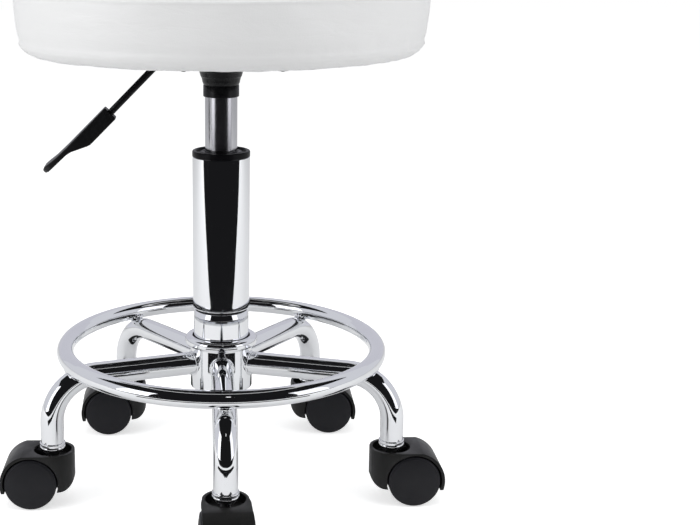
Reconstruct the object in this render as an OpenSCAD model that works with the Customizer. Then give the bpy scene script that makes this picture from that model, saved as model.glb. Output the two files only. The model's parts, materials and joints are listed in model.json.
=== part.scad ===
// Height-adjustable stylist stool on a five-legged caster base.
// Millimetres, +Z up. The origin is on the floor, under the column's axis.
// The first leg points along -Y and the seat is at its lowest height.

/* [Base] */
// Radius of the circle on which the caster stems stand
stem_circle_r = 155; // [145:1:190]
// Outer diameter of the leg tube
leg_d = 20; // [18:0.5:24]
// Wall of the leg tube
leg_wall = 1.5; // [1.2:0.1:2.5]
// Height of the leg's straight part, at its centre
leg_z = 112; // [105:1:130]
// Radius of the leg's bend, at its centre
leg_bend_r = 39; // [34:1:44]
// Height of the leg's lower end
leg_end_z = 50; // [50:1:54]
// Outer diameter of the chromed end socket
end_socket_d = 22.6; // [22.2:0.1:25]
// Height of the end socket's visible band
end_socket_h = 6.5; // [4:0.5:8]

/* [Foot ring] */
// Radius of the foot ring, at the tube's centre
ring_r = 138.5; // [128:0.5:142]
// Outer diameter of the foot ring's tube
ring_d = 15; // [13:0.5:18]
// Wall of the foot ring's tube
ring_wall = 1.2; // [1:0.1:2]

/* [Hub] */
// Outer diameter of the hub below the shoulder
hub_d = 55; // [50:0.5:64]
// Height of the hub's lower edge
hub_bottom_z = 89; // [84:1:94]
// Diameter of the rounded shoulder
shoulder_d = 64; // [58:0.5:72]
// Height of the shoulder's lower face
shoulder_z = 128.5; // [126:0.5:134]
// Height of the shoulder
shoulder_h = 8; // [6:0.5:10]
// Diameter of the neck
neck_d = 48.8; // [47:0.1:49.6]
// Diameter of the boss under the hub
boss_d = 41; // [36:0.5:46]
// Height of the boss's lower edge
boss_bottom_z = 78; // [76:0.5:82]

/* [Column] */
// Outer diameter of the column tube
column_d = 50; // [48:0.5:54]
// Wall of the column tube
column_wall = 1.5; // [1.2:0.1:2]
// Height of the column tube's lower edge
column_bottom_z = 162; // [150:1:170]
// Height of the column tube's upper edge
column_top_z = 297; // [270:0.5:310]
// Thickness of the black collar on the column
collar_h = 5.3; // [3:0.1:8]
// Length of the guide sleeve in the column
sleeve_l = 110; // [90:1:120]

/* [Gas spring] */
// Outer diameter of the pressure tube
tube_d = 28; // [26:0.5:30]
// Wall of the pressure tube
tube_wall = 1.5; // [1.2:0.1:2]
// Diameter of the piston rod
rod_d = 10; // [8:0.5:12]
// Height of the rubber bumper
bumper_h = 12; // [8:1:18]
// Travel of the height adjustment
lift_travel = 140; // [110:1:140]
// Diameter of the bearing's balls
ball_d = 4.5; // [3.5:0.25:5]
// Number of the bearing's balls
ball_count = 11; // [8:1:11]

/* [Seat] */
// Outer diameter of the seat
seat_d = 353; // [340:1:400]
// Height of the side, from the cover's lowest edge to the top's rim
seat_h = 76; // [60:1:100]
// Height of the cover's lowest edge
seat_bottom_z = 387; // [385:1:400]
// Rise of the seat's crown above its rim
crown_h = 7; // [2:0.5:12]
// Thickness of the cover
cover_t = 1.5; // [1:0.1:2.5]
// Width of the rolled lower edge
fold_w = 18; // [12:1:24]
// Height of the rolled lower edge
fold_h = 24; // [16:1:28]
// Radius of the rounded upper edge
top_edge_r = 22; // [14:1:28]
// Diameter of the seat board
board_d = 310; // [290:1:312]
// Thickness of the seat board
board_h = 12; // [9:0.5:15]
// Diameter of the dust cover
dust_d = 282; // [240:1:290]
// Side of the square mount plate
plate_side = 150; // [130:1:180]
// Thickness of the mount plate
plate_t = 2.5; // [2:0.1:4]
// Distance between the plate's bolts
bolt_pitch = 124; // [100:1:126]

/* [Seat socket] */
// Outer diameter of the socket's tube
socket_d = 31; // [31:0.5:36]
// Height of the socket's lower edge
socket_bottom_z = 349; // [346:0.5:352]
// Diameter of the bell at its top
bell_d = 50; // [46:0.5:60]
// Height at which the bell begins to widen
bell_z = 361; // [358:0.5:363]

/* [Lever] */
// Diameter of the lever's rod
lever_d = 6; // [5:0.25:7]
// Distance of the lever's pivot from the axis
pivot_x = 32; // [30:0.5:36]
// Distance from the axis at which the lever bends down
lever_bend_x = 55; // [50:1:60]
// Angle of the lever's arm below the horizontal
lever_angle = 45.5; // [35:0.5:50]
// Distance from the bend to the handle
lever_arm_l = 57; // [50:1:70]
// Length of the handle
handle_l = 76; // [60:1:90]
// Width of the handle's blade
handle_w = 28; // [20:1:34]
// Travel of the release button
button_travel = 2.5; // [1.5:0.1:2.8]

/* [Casters] */
// Diameter of the wheels
wheel_d = 45; // [42:0.5:46]
// Width of one wheel
wheel_w = 16; // [14:0.5:18]
// Thickness of the hood's body between the wheels
hood_core_w = 13; // [12:0.5:15]
// Distance from the stem to the axle
trail = 18; // [16:0.5:20]
// Outer diameter of the hood's stem housing
housing_d = 38; // [36:0.5:40]
// Height of the hood's rim
hood_z = 48; // [47.5:0.1:48.5]
// Width of the hood's fender
fender_w = 40; // [36:0.5:42]
// Thickness of the hood's fender
fender_t = 2.6; // [2:0.1:3]
// Diameter of the caster's stem
stem_d = 10; // [9:0.5:11]
// Diameter of the caster's axle
axle_d = 6; // [5:0.25:7]

/* [Clearances] */
// Radial clearance of a shaft that turns or slides
running = 0.06; // [0.03:0.01:0.1]
// Gap between faces that are seated
seat_gap = 0.05; // [0.02:0.01:0.1]
// Gap between pieces that move past each other
moving_gap = 0.5; // [0.3:0.05:0.8]

/* [Hidden] */
$fn = 96;
eps = 0.01;
leg_count = 5;
LEGS = [for (k = [1 : leg_count]) k];

// Colours
CHROME = [0.82, 0.83, 0.85];
STEEL = [0.62, 0.62, 0.63];
BLACK = [0.06, 0.06, 0.065];
WHITE = [0.93, 0.93, 0.92];

// Base
leg_r = leg_d / 2;
ring_tube_r = ring_d / 2;
bend_start_r = stem_circle_r - leg_bend_r;
bend_centre_z = leg_z - leg_bend_r;
ring_reach = leg_bend_r + leg_r + ring_tube_r + seat_gap;
ring_over = max(ring_r - bend_start_r, 0);
ring_foot_r = min(ring_r, bend_start_r);
ring_z = bend_centre_z + sqrt(pow(ring_reach, 2) - pow(ring_over, 2));
ring_angle = atan2(ring_z - bend_centre_z, ring_over);
weld_r = leg_bend_r + leg_r;
bead_r = 2.3;
bead_half_l = 4.6;
bead_offset = 4.7;
socket_lip = 1.6;
socket_depth = 24;
socket_bore_d = 10.9;

// Hub, from the boss's recess to the spigot in the column tube
hub_r = hub_d / 2;
boss_r = boss_d / 2;
floor_t = 3;
boss_recess_h = 3;
boss_wall = 3;
floor_z = boss_bottom_z + boss_recess_h;
floor_top_z = floor_z + floor_t;
hub_bore_r = tube_d / 2 + 1.2;
spigot_r = column_d / 2 - column_wall - seat_gap;
spigot_h = 20;
spigot_top_z = column_bottom_z + spigot_h;
neck_chamfer = 4.5;
leg_seat_r = hub_r - 4;

// Thrust bearing and piston rod
race_t = 2.5;
race_r = 11.5;
race_bore_r = rod_d / 2 + 0.4;
ball_circle_r = 8.25;
groove_depth = 0.8;
lower_race_z = floor_top_z + seat_gap;
ball_z = lower_race_z + race_t - groove_depth + ball_d / 2 + seat_gap;
upper_race_z = ball_z + ball_d / 2 + seat_gap * 2 - groove_depth;
shoulder_top_z = upper_race_z + race_t + seat_gap;
rod_shoulder_h = 3;
rod_shoulder_r = 8;
bumper_z = shoulder_top_z + rod_shoulder_h + seat_gap;
clip_t = 1.2;
clip_r = 9;
clip_groove = 1;
clip_z = floor_z - 0.3 - clip_t;
rod_bottom_z = clip_z - 1.1;
tube_bottom_z = bumper_z + bumper_h + seat_gap;
rod_r = rod_d / 2;
tube_r = tube_d / 2;
tube_bore_r = tube_r - tube_wall;
gland_h = 14;
piston_h = 10;
seal_groove = 1.2;
piston_seat_r = rod_d / 2 - 1;
end_play = 4;
piston_z = tube_bottom_z + gland_h + lift_travel + end_play;

// Seat socket and what it holds
taper_l = 18;
tube_top_r = tube_r - 0.7;
tube_top_z = socket_bottom_z + taper_l;
socket_r = socket_d / 2;
bell_r = bell_d / 2;
bell_wall = 2.2;
bell_lip = 3;
bell_flange_t = 2.4;
staple_t = 0.5;
dust_t = 0.8;
staple_z = seat_bottom_z - seat_gap - staple_t;
dust_z = staple_z - seat_gap - dust_t;
plate_z = dust_z - seat_gap - plate_t;
bell_top_z = plate_z - seat_gap;
tube_end_t = 3;
valve_h = 24;
valve_floor_t = 2;
button_r = 4;
button_stem_r = 2.4;
press_room = button_travel + 1.5;
valve_top_z = tube_top_z - tube_end_t - seat_gap;
valve_bore_z = valve_top_z - valve_h + valve_floor_t + seat_gap;
lever_r = lever_d / 2;
lever_drop = 7;
lever_z = plate_z - lever_drop;
lever_flat_h = lever_r * 1.4;
button_top_z = lever_z - lever_flat_h / 2 - 0.1;
grip_depth = 26;
pin_r = 2;
ear_t = 2;
ear_gap = lever_d + 1.2;
ear_w = 11;
ear_room = ear_gap / 2 + ear_t + 2;

// Bolts and T-nuts
plate_corner_r = 10;
bolt_r = 3;
nut_flange_r = 9;
nut_flange_t = 1.4;
nut_barrel_r = 4.1;
nut_barrel_h = 8;

// Seat
seat_r = seat_d / 2;
rim_z = seat_bottom_z + seat_h;
side_lean = 1.5;
board_r = board_d / 2;
board_z = seat_bottom_z + cover_t + seat_gap;
board_top_z = board_z + board_h;
dust_r = dust_d / 2;
hem_inner_r = dust_r - 15;
foam_gap = 0.3;
staple_count = 40;
staple_wire = 1.2;
staple_r = dust_r - 6;

// Casters, in their own frame: stem on the origin, axle towards +X
wheel_r = wheel_d / 2;
wheel_gap = 0.4;
cut_r = wheel_r + 1.3;
fender_r = cut_r + fender_t;
core_half = hood_core_w / 2;
wheel_in_y = core_half + wheel_gap;
axle_z = wheel_r;
axle_r = axle_d / 2;
stem_r = stem_d / 2;
recess_floor_z = hood_z - 8;
recess_r = housing_d / 2 - 2.6;
recess_floor_t = 2.4;
stem_bottom_z = 13;
stem_floor_gap = 1.5;
flange_t = 1.6;
flange_r = 8.5;
shank_r = 4.6;
grip_h = 3;
stem_top_z = leg_end_z + 20;
housing_cut_z = 15;

// Direction in which each caster trails
CASTER_TURN = [-88, 1, -1, 181, 179];

function leg_turn(k) = -90 + 360 / leg_count * (k - 1);
function caster_turn(k) = CASTER_TURN[k - 1];
function lever_end() = [-lever_bend_x - lever_arm_l * cos(lever_angle), lever_z - lever_arm_l * sin(lever_angle)];

module at_leg(k) rotate([0, 0, leg_turn(k)]) children();
module at_stem(k) at_leg(k) translate([stem_circle_r, 0, 0]) children();
module at_caster(k) at_stem(k) rotate([0, 0, caster_turn(k) - leg_turn(k)]) children();
module ring_of(inner_r, outer_r, h, z = 0) {
    translate([0, 0, z]) difference() {
        cylinder(r = outer_r, h = h);
        translate([0, 0, -1]) cylinder(r = inner_r, h = h + 2);
    }
}
module at_bolts() for (x = [-bolt_pitch, bolt_pitch] / 2, y = [-bolt_pitch, bolt_pitch] / 2) translate([x, y, 0]) children();
module along_y(r, from, to) translate([0, to, 0]) rotate([90, 0, 0]) cylinder(r = r, h = to - from);

// ---------- Base ----------

// Round bar that follows the leg: straight, then bent down to the caster
module leg_bar(r, start_r, end_z) {
    translate([start_r, 0, leg_z]) rotate([0, 90, 0]) cylinder(r = r, h = bend_start_r - start_r);
    translate([bend_start_r, 0, bend_centre_z]) rotate([90, 0, 0])
        rotate_extrude(angle = 90) translate([leg_bend_r, 0]) circle(r = r, $fn = 64);
    translate([stem_circle_r, 0, end_z]) cylinder(r = r, h = bend_centre_z - end_z);
}

module leg(k) {
    color(CHROME) at_leg(k) difference() {
        leg_bar(leg_r, leg_seat_r, leg_end_z);
        leg_bar(leg_r - leg_wall, leg_seat_r - 1, leg_end_z - 1);
    }
}

module foot_ring() {
    color(CHROME) translate([0, 0, ring_z]) rotate_extrude($fn = 180) translate([ring_r, 0]) difference() {
        circle(r = ring_tube_r, $fn = 48);
        circle(r = ring_tube_r - ring_wall, $fn = 48);
    }
}

// Bead on both sides of the line where the ring crosses a leg, fused into both
module ring_welds() {
    color(CHROME) for (k = LEGS) at_leg(k) for (side = [-1, 1])
        translate([ring_foot_r, 0, bend_centre_z]) rotate([0, -ring_angle, 0])
            translate([weld_r + bead_r * 0.7, 0, side * bead_offset]) rotate([90, 0, 0])
                rotate_extrude($fn = 32)
                    polygon([for (a = [-90 : 15 : 90]) [bead_r * cos(a), bead_half_l * sin(a)]]);
}

// Pressed socket in the leg's end, with a band round the tube
module leg_sockets() {
    color(CHROME) for (k = LEGS) at_stem(k) {
        difference() {
            union() {
                translate([0, 0, leg_end_z - socket_lip]) cylinder(d = end_socket_d, h = socket_lip - seat_gap);
                translate([0, 0, leg_end_z - socket_lip]) cylinder(r = leg_r - leg_wall - seat_gap, h = socket_depth);
                ring_of(leg_r + seat_gap, end_socket_d / 2, end_socket_h, leg_end_z - socket_lip);
            }
            translate([0, 0, leg_end_z - socket_lip - 1]) cylinder(d = socket_bore_d, h = socket_depth + 2);
        }
    }
}

module hub() {
    r_edge = 3.6;
    color(CHROME) difference() {
        rotate_extrude() difference() {
            union() {
                polygon([[0, boss_bottom_z], [boss_r - 1.5, boss_bottom_z], [boss_r, boss_bottom_z + 1.5],
                         [boss_r, hub_bottom_z], [hub_r - 1.2, hub_bottom_z], [hub_r, hub_bottom_z + 1.2],
                         [hub_r, shoulder_z], [shoulder_d / 2 - 1, shoulder_z], [shoulder_d / 2, shoulder_z + 1],
                         [shoulder_d / 2, shoulder_z + shoulder_h - r_edge],
                         [shoulder_d / 2 - r_edge, shoulder_z + shoulder_h],
                         [neck_d / 2, shoulder_z + shoulder_h], [neck_d / 2, column_bottom_z - neck_chamfer],
                         [spigot_r - 0.4, column_bottom_z], [spigot_r, column_bottom_z],
                         [spigot_r, spigot_top_z], [0, spigot_top_z]]);
                translate([shoulder_d / 2 - r_edge, shoulder_z + shoulder_h - r_edge]) circle(r = r_edge, $fn = 64);
            }
            translate([-1, boss_bottom_z - 1]) square([boss_r - boss_wall + 1, boss_recess_h + 1]);
            translate([-1, boss_bottom_z]) square([1, spigot_top_z]);
        }
        translate([0, 0, floor_top_z]) cylinder(r = hub_bore_r, h = spigot_top_z);
        translate([0, 0, floor_z - 1]) cylinder(r = rod_r + moving_gap, h = floor_t + 2);
        for (k = LEGS) at_leg(k) translate([leg_seat_r - seat_gap, 0, leg_z])
            rotate([0, 90, 0]) cylinder(r = leg_r + seat_gap, h = hub_r);
    }
}

// ---------- Column ----------

module column_tube() {
    color(CHROME) ring_of(column_d / 2 - column_wall, column_d / 2, column_top_z - column_bottom_z, column_bottom_z);
}

module guide_sleeve() {
    collar_r = column_d / 2 + 0.2;
    color(BLACK) difference() {
        rotate_extrude() polygon([
            [0, column_top_z - sleeve_l], [spigot_r, column_top_z - sleeve_l],
            [spigot_r, column_top_z + seat_gap], [collar_r, column_top_z + seat_gap],
            [collar_r, column_top_z + collar_h - 0.8], [collar_r - 0.8, column_top_z + collar_h],
            [collar_r - 3, column_top_z + collar_h], [collar_r - 4, column_top_z + collar_h - 1.4],
            [0, column_top_z + collar_h - 1.4]]);
        translate([0, 0, column_top_z - sleeve_l - 1]) cylinder(r = tube_r + running, h = sleeve_l + collar_h + 2);
    }
}

// ---------- Swivel bearing and piston rod ----------

module race(z, groove_z) {
    color(STEEL) difference() {
        ring_of(race_bore_r, race_r, race_t, z);
        translate([0, 0, groove_z]) rotate_extrude() translate([ball_circle_r, 0])
            circle(r = ball_d / 2 + seat_gap, $fn = 48);
    }
}
module bearing_lower_race() race(lower_race_z, ball_z);
module bearing_upper_race() race(upper_race_z, ball_z);
module bearing_balls() {
    color(STEEL) for (i = [0 : ball_count - 1]) rotate([0, 0, 360 / ball_count * i])
        translate([ball_circle_r, 0, ball_z]) sphere(d = ball_d, $fn = 32);
}

module rod_clip() {
    color(STEEL) ring_of(rod_r - clip_groove + seat_gap, clip_r, clip_t, clip_z);
}

module piston_rod() {
    color(STEEL) difference() {
        union() {
            translate([0, 0, rod_bottom_z]) cylinder(r = rod_r, h = piston_z + piston_h - rod_bottom_z);
            translate([0, 0, shoulder_top_z]) cylinder(r = rod_shoulder_r, h = rod_shoulder_h);
        }
        ring_of(rod_r - clip_groove, rod_r + 1, clip_t + seat_gap * 2, clip_z - seat_gap);
        ring_of(piston_seat_r, rod_r + 1, piston_h + 1, piston_z);
    }
}

module piston() {
    color(STEEL) difference() {
        ring_of(piston_seat_r + seat_gap, tube_bore_r - running, piston_h - seat_gap, piston_z + seat_gap);
        ring_of(tube_bore_r - seal_groove, tube_bore_r + 1, 2 * seal_groove, piston_z + piston_h / 2 - seal_groove);
    }
}

module rod_bumper() {
    bore_r = rod_r + 0.3;
    end_r = tube_bore_r - 1.5;
    side_r = end_r + 1.4;
    color(BLACK) rotate_extrude() polygon([
        [bore_r, bumper_z], [end_r, bumper_z], [side_r, bumper_z + 1.4], [side_r, bumper_z + bumper_h - 2],
        [end_r, bumper_z + bumper_h], [bore_r, bumper_z + bumper_h]]);
}

// ---------- Gas spring ----------

module pressure_tube() {
    color(STEEL) difference() {
        rotate_extrude() polygon([
            [0, tube_bottom_z], [tube_r - 0.8, tube_bottom_z], [tube_r, tube_bottom_z + 0.8],
            [tube_r, socket_bottom_z], [tube_top_r, tube_top_z], [0, tube_top_z]]);
        translate([0, 0, tube_bottom_z - 1]) cylinder(r = tube_bore_r, h = tube_top_z - tube_end_t - tube_bottom_z + 1);
        translate([0, 0, tube_top_z - tube_end_t - 1]) cylinder(r = button_r + running, h = tube_end_t + 3);
    }
}

module tube_gland() {
    color(BLACK) ring_of(rod_r + running, tube_bore_r - seat_gap, gland_h, tube_bottom_z);
}

module valve_body() {
    color(STEEL) difference() {
        translate([0, 0, valve_top_z - valve_h]) cylinder(r = tube_bore_r - seat_gap, h = valve_h);
        translate([0, 0, valve_bore_z]) cylinder(r = button_stem_r + running, h = valve_h);
        translate([0, 0, tube_top_z - tube_end_t - press_room]) cylinder(r = button_r + running, h = press_room + 1);
    }
}

module release_button() {
    head_z = tube_top_z - tube_end_t;
    stem_z = valve_bore_z + press_room;
    color(STEEL) {
        translate([0, 0, head_z]) cylinder(r = button_r, h = button_top_z - 1 - head_z);
        translate([0, 0, button_top_z - 1]) cylinder(r1 = button_r, r2 = button_r - 1, h = 1);
        translate([0, 0, stem_z]) cylinder(r = button_stem_r, h = head_z + 1 - stem_z);
    }
}

// ---------- Seat socket, plate and lever ----------

module seat_socket() {
    bore_top_r = tube_top_r + seat_gap;
    color(BLACK) difference() {
        rotate_extrude() polygon([
            [tube_r + seat_gap, socket_bottom_z], [socket_r - 0.6, socket_bottom_z],
            [socket_r, socket_bottom_z + 0.6], [socket_r, bell_z - 3.4], [socket_r - 0.7, bell_z - 2.7],
            [socket_r - 0.7, bell_z - 1], [socket_r + 0.4, bell_z], [bell_r - 5, bell_z + 10],
            [bell_r - 3, bell_z + 15], [bell_r, bell_top_z - bell_flange_t], [bell_r + bell_lip, bell_top_z - bell_flange_t],
            [bell_r + bell_lip, bell_top_z], [bell_r - bell_wall, bell_top_z],
            [bell_r - bell_wall - 3, bell_z + 15], [bell_r - bell_wall - 5.6, bell_z + 10],
            [bore_top_r + 0.6, tube_top_z + 0.4], [bore_top_r, tube_top_z]]);
        translate([-bell_r - 10, -lever_r - 1.2, lever_z - lever_r - 3.4]) cube([bell_r + 5, lever_d + 2.4, 40]);
        translate([-pivot_x - 20, -ear_room, lever_z - ear_w / 2 - 1]) cube([20 + ear_w / 2 + 0.4, 2 * ear_room, 40]);
    }
}

module mount_plate() {
    color(BLACK) {
        difference() {
            translate([0, 0, plate_z]) linear_extrude(plate_t)
                offset(plate_corner_r, $fn = 64) square(plate_side - 2 * plate_corner_r, center = true);
            at_bolts() translate([0, 0, plate_z - 1]) cylinder(r = bolt_r + 0.3, h = plate_t + 2);
        }
        for (side = [-1, 1]) difference() {
            translate([-pivot_x, side * (ear_gap + ear_t) / 2, 0]) {
                translate([-ear_w / 2, -ear_t / 2, lever_z]) cube([ear_w, ear_t, plate_z - lever_z + eps]);
                translate([0, 0, lever_z]) along_y(ear_w / 2, -ear_t / 2, ear_t / 2);
            }
            translate([-pivot_x, 0, lever_z]) along_y(pin_r + seat_gap, -20, 20);
        }
    }
}

module lever_pin() {
    half = ear_gap / 2 + ear_t;
    color(STEEL) translate([-pivot_x, 0, lever_z]) {
        along_y(pin_r, -half - 0.2, half + 0.2);
        along_y(pin_r + 1.4, -half - 1.4, -half - 0.2);
        along_y(pin_r + 1.4, half + 0.2, half + 1.4);
    }
}

// Bent rod, flattened over the button, with an eye for the pin and a swaged bend
module lever_rod() {
    swage = 0.2;
    eye_half = lever_r + 0.35;
    color(BLACK) difference() {
        union() {
            translate([-lever_bend_x, 0, lever_z]) rotate([0, 90, 0]) cylinder(r = lever_r, h = lever_bend_x - 9);
            translate([-9.5, -lever_r - 0.2, lever_z - lever_flat_h / 2]) cube([14, lever_d + 0.4, lever_flat_h]);
            translate([-pivot_x, 0, lever_z]) along_y(pin_r + 2, -eye_half, eye_half);
            translate([-lever_bend_x, 0, lever_z]) {
                sphere(r = lever_r + swage);
                rotate([0, -90 - lever_angle, 0]) cylinder(r = lever_r, h = lever_arm_l + grip_depth);
            }
        }
        translate([-pivot_x, 0, lever_z]) along_y(pin_r + running, -20, 20);
    }
}

// Sleeve block on the rod's end that runs out to a thin paddle, drawn along the rod's line
module lever_handle() {
    end = lever_end();
    half = 6.7;
    wedge = 32;
    neck = 46;
    outline = [[0, half - 1], [1, half], [neck - 2, half], [handle_l - 3, half + 2.2], [handle_l - 0.8, half + 1.6],
               [handle_l, half - 0.4], [handle_l - 1, half - 2.6], [handle_l - 3, half - 3.2],
               [neck + 3, half - 4.4], [wedge, 0.4 - half], [1, -half], [0, 1 - half]];
    color(BLACK) translate([end[0], 0, end[1]]) rotate([0, lever_angle, 180]) difference() {
        intersection() {
            rotate([90, 0, 0]) linear_extrude(handle_w, center = true) polygon(outline);
            linear_extrude(60, center = true) hull() {
                for (side = [-1, 1]) translate([2, side * 5.5]) circle(r = 2, $fn = 32);
                for (side = [-1, 1]) translate([neck, side * (handle_w / 2 - 4)]) circle(r = 4, $fn = 32);
                for (side = [-1, 1]) translate([handle_l - 7, side * (handle_w / 2 - 7)]) circle(r = 7, $fn = 32);
            }
        }
        translate([-1, 0, 0]) rotate([0, 90, 0]) cylinder(r = lever_r + seat_gap, h = grip_depth + 1 + seat_gap);
    }
}

// ---------- Seat ----------

// Outer outline of the cover, pulled in by an inset: rolled lower edge, side, rounded upper edge and crown
module seat_outline(inset) {
    side_r = seat_r - side_lean;
    polygon(concat(
        [[0, seat_bottom_z + inset]],
        [for (a = [-90 : 9 : 0]) [side_r - fold_w + (fold_w - inset) * cos(a),
                                  seat_bottom_z + fold_h + (fold_h - inset) * sin(a)]],
        [for (a = [0 : 9 : 90]) [seat_r - top_edge_r + (top_edge_r - inset) * cos(a),
                                 rim_z - top_edge_r + (top_edge_r - inset) * sin(a)]],
        [for (t = [0.8 : -0.2 : 0.2]) [(seat_r - top_edge_r) * t, rim_z - inset + crown_h * (1 - pow((t - 0.2) / 0.8, 2))]],
        [[0, rim_z - inset + crown_h]]));
}

module seat_cover() {
    color(WHITE) rotate_extrude($fn = 128) difference() {
        seat_outline(0);
        seat_outline(cover_t);
        translate([-1, seat_bottom_z - 1]) square([hem_inner_r + 1, board_h]);
    }
}

// Foam over the board and down past its edge
module seat_foam() {
    color("Khaki") rotate_extrude($fn = 128) difference() {
        seat_outline(cover_t + foam_gap);
        translate([-1, seat_bottom_z]) square([board_r + 1 + 2 * seat_gap, board_top_z + seat_gap - seat_bottom_z]);
    }
}

module seat_board() {
    color("BurlyWood") difference() {
        translate([0, 0, board_z]) cylinder(r = board_r, h = board_h, $fn = 128);
        at_bolts() {
            translate([0, 0, board_z - 1]) cylinder(r = nut_barrel_r + 0.1, h = board_h + 2);
            translate([0, 0, board_top_z - nut_flange_t - 0.2]) cylinder(r = nut_flange_r + 0.2, h = nut_flange_t + 1.6);
        }
    }
}

module dust_cover() {
    color(BLACK) difference() {
        translate([0, 0, dust_z]) cylinder(r = dust_r, h = dust_t, $fn = 128);
        at_bolts() translate([0, 0, dust_z - 1]) cylinder(r = bolt_r + 0.3, h = dust_t + 2);
    }
}

module cover_staples() {
    crown = 10;
    leg_l = 7;
    color(STEEL) for (i = [0 : staple_count - 1]) rotate([0, 0, 360 / staple_count * (i + 0.5)])
        translate([staple_r, 0, 0]) {
            translate([-staple_wire / 2, -crown / 2, staple_z]) cube([staple_wire, crown, staple_t]);
            for (side = [-1, 1]) translate([-staple_wire / 2, (side * (crown - staple_wire) - staple_wire) / 2, staple_z])
                cube([staple_wire, staple_wire, leg_l]);
        }
}

module plate_bolts() {
    head_h = 3.4;
    color(STEEL) at_bolts() {
        translate([0, 0, plate_z - seat_gap - head_h]) difference() {
            cylinder(r1 = 2 * bolt_r - 0.6, r2 = 2 * bolt_r, h = head_h);
            translate([0, 0, -1]) cylinder(r = 2.9, h = 3, $fn = 6);
        }
        translate([0, 0, plate_z - seat_gap - eps]) cylinder(r = bolt_r, h = board_top_z - plate_z - 1);
    }
}

module t_nuts() {
    flange_z = board_top_z - nut_flange_t - 0.15;
    color(STEEL) at_bolts() {
        ring_of(bolt_r + seat_gap, nut_flange_r, nut_flange_t, flange_z);
        ring_of(bolt_r + seat_gap, nut_barrel_r, nut_barrel_h, flange_z - nut_barrel_h + eps);
    }
}

// ---------- Casters ----------

module caster_stem(k) {
    color(STEEL) at_stem(k) {
        translate([0, 0, stem_bottom_z]) cylinder(r = stem_r, h = leg_end_z - socket_lip - stem_bottom_z);
        translate([0, 0, leg_end_z - socket_lip - seat_gap - flange_t]) cylinder(r = flange_r, h = flange_t);
        translate([0, 0, leg_end_z - socket_lip - eps])
            cylinder(r = shank_r, h = stem_top_z - leg_end_z + socket_lip);
        translate([0, 0, stem_top_z - eps]) cylinder(r1 = shank_r, r2 = shank_r - 1.2, h = 2);
    }
}

module grip_rings() {
    color(STEEL) for (k = LEGS) at_stem(k)
        ring_of(shank_r + seat_gap, socket_bore_d / 2 - seat_gap, grip_h, stem_top_z - 2 * grip_h);
}

module hood_side_profile() {
    back = -housing_d / 2;
    corner = 11;
    polygon(concat(
        [[back, hood_z], [back, housing_cut_z + corner]],
        [for (a = [180 : 15 : 270]) [back + corner + corner * cos(a), housing_cut_z + corner + corner * sin(a)]],
        [[trail, housing_cut_z], [trail, axle_z - 8]],
        [for (a = [-6 : 6 : 84]) [trail + fender_r * cos(a), min(axle_z + fender_r * sin(a), hood_z)]],
        [[trail, hood_z]]));
}

module hood_plan() {
    hull() {
        circle(d = housing_d);
        translate([trail + 8, 0]) square([2, fender_w], center = true);
    }
    translate([trail, -fender_w / 2]) square([40, fender_w]);
}

// Core between the wheels, stem housing and fender, as one moulding
module caster_hood(k) {
    color(BLACK) at_caster(k) difference() {
        intersection() {
            linear_extrude(hood_z) hood_plan();
            rotate([90, 0, 0]) linear_extrude(60, center = true) hood_side_profile();
        }
        for (side = [-1, 1]) translate([trail, 0, axle_z])
            along_y(cut_r, side > 0 ? core_half : -40, side > 0 ? 40 : -core_half);
        translate([0, 0, recess_floor_z]) cylinder(r = recess_r, h = 20);
        difference() {
            translate([0, 0, -1]) cylinder(r = recess_r, h = recess_floor_z - recess_floor_t + 1);
            translate([-housing_d / 2, -core_half, -2]) cube([80, hood_core_w, 60]);
        }
        translate([0, 0, stem_bottom_z - stem_floor_gap]) cylinder(r = stem_r + running, h = hood_z);
        translate([trail, 0, axle_z]) along_y(axle_r + seat_gap, -20, 20);
    }
}

module caster_axle(k) {
    half = wheel_in_y + wheel_w - 5;
    color(STEEL) at_caster(k) translate([trail, 0, axle_z]) along_y(axle_r, -half, half);
}

// Moulded disc with a domed face, a tread rim and a hub, side 1 for left and -1 for right
module wheel(k, side) {
    rim = 3.2;
    face = 2.4;
    dome = 2.2;
    color(BLACK) at_caster(k) translate([trail, side * wheel_in_y, axle_z]) rotate([side > 0 ? -90 : 90, 0, 0])
        rotate_extrude() polygon([
            [axle_r + running, 0], [axle_r + 3.6, 0], [axle_r + 3.6, wheel_w - face - 1],
            [wheel_r - rim, wheel_w - face - dome - 1], [wheel_r - rim, 0.6], [wheel_r - rim + 0.6, 0],
            [wheel_r - 1, 0], [wheel_r, 1], [wheel_r, wheel_w - dome - 2.2], [wheel_r - 0.8, wheel_w - dome - 0.8],
            [wheel_r - 2.4, wheel_w - dome], [wheel_r * 0.62, wheel_w - 0.6], [wheel_r * 0.3, wheel_w],
            [0, wheel_w], [0, wheel_w - 4.6], [axle_r + running, wheel_w - 4.6]]);
}

hub();
column_tube();
guide_sleeve();
bearing_lower_race();
bearing_balls();
bearing_upper_race();
rod_clip();
rod_bumper();
piston_rod();
piston();
pressure_tube();
tube_gland();
valve_body();
release_button();
seat_socket();
mount_plate();
plate_bolts();
t_nuts();
seat_board();
seat_foam();
seat_cover();
dust_cover();
cover_staples();
lever_rod();
lever_handle();
lever_pin();
foot_ring();
ring_welds();
leg_sockets();
grip_rings();
for (k = LEGS) {
    leg(k);
    caster_stem(k);
    caster_hood(k);
    caster_axle(k);
    wheel(k, 1);
    wheel(k, -1);
}
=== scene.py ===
"""A rolling stylist stool: padded round seat, gas spring, chromed five-legged base and two-wheel swivel casters.

Lengths are metres, +Z is up and the origin is on the floor under the column's axis. The first leg
points along -Y and the release lever lies on the -X side.
"""
from __future__ import annotations

import json
import logging
import math
from dataclasses import dataclass
from enum import Enum
from typing import Callable, Iterable, Sequence

import bmesh
import bpy
from mathutils import Matrix, Vector, noise

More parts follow.
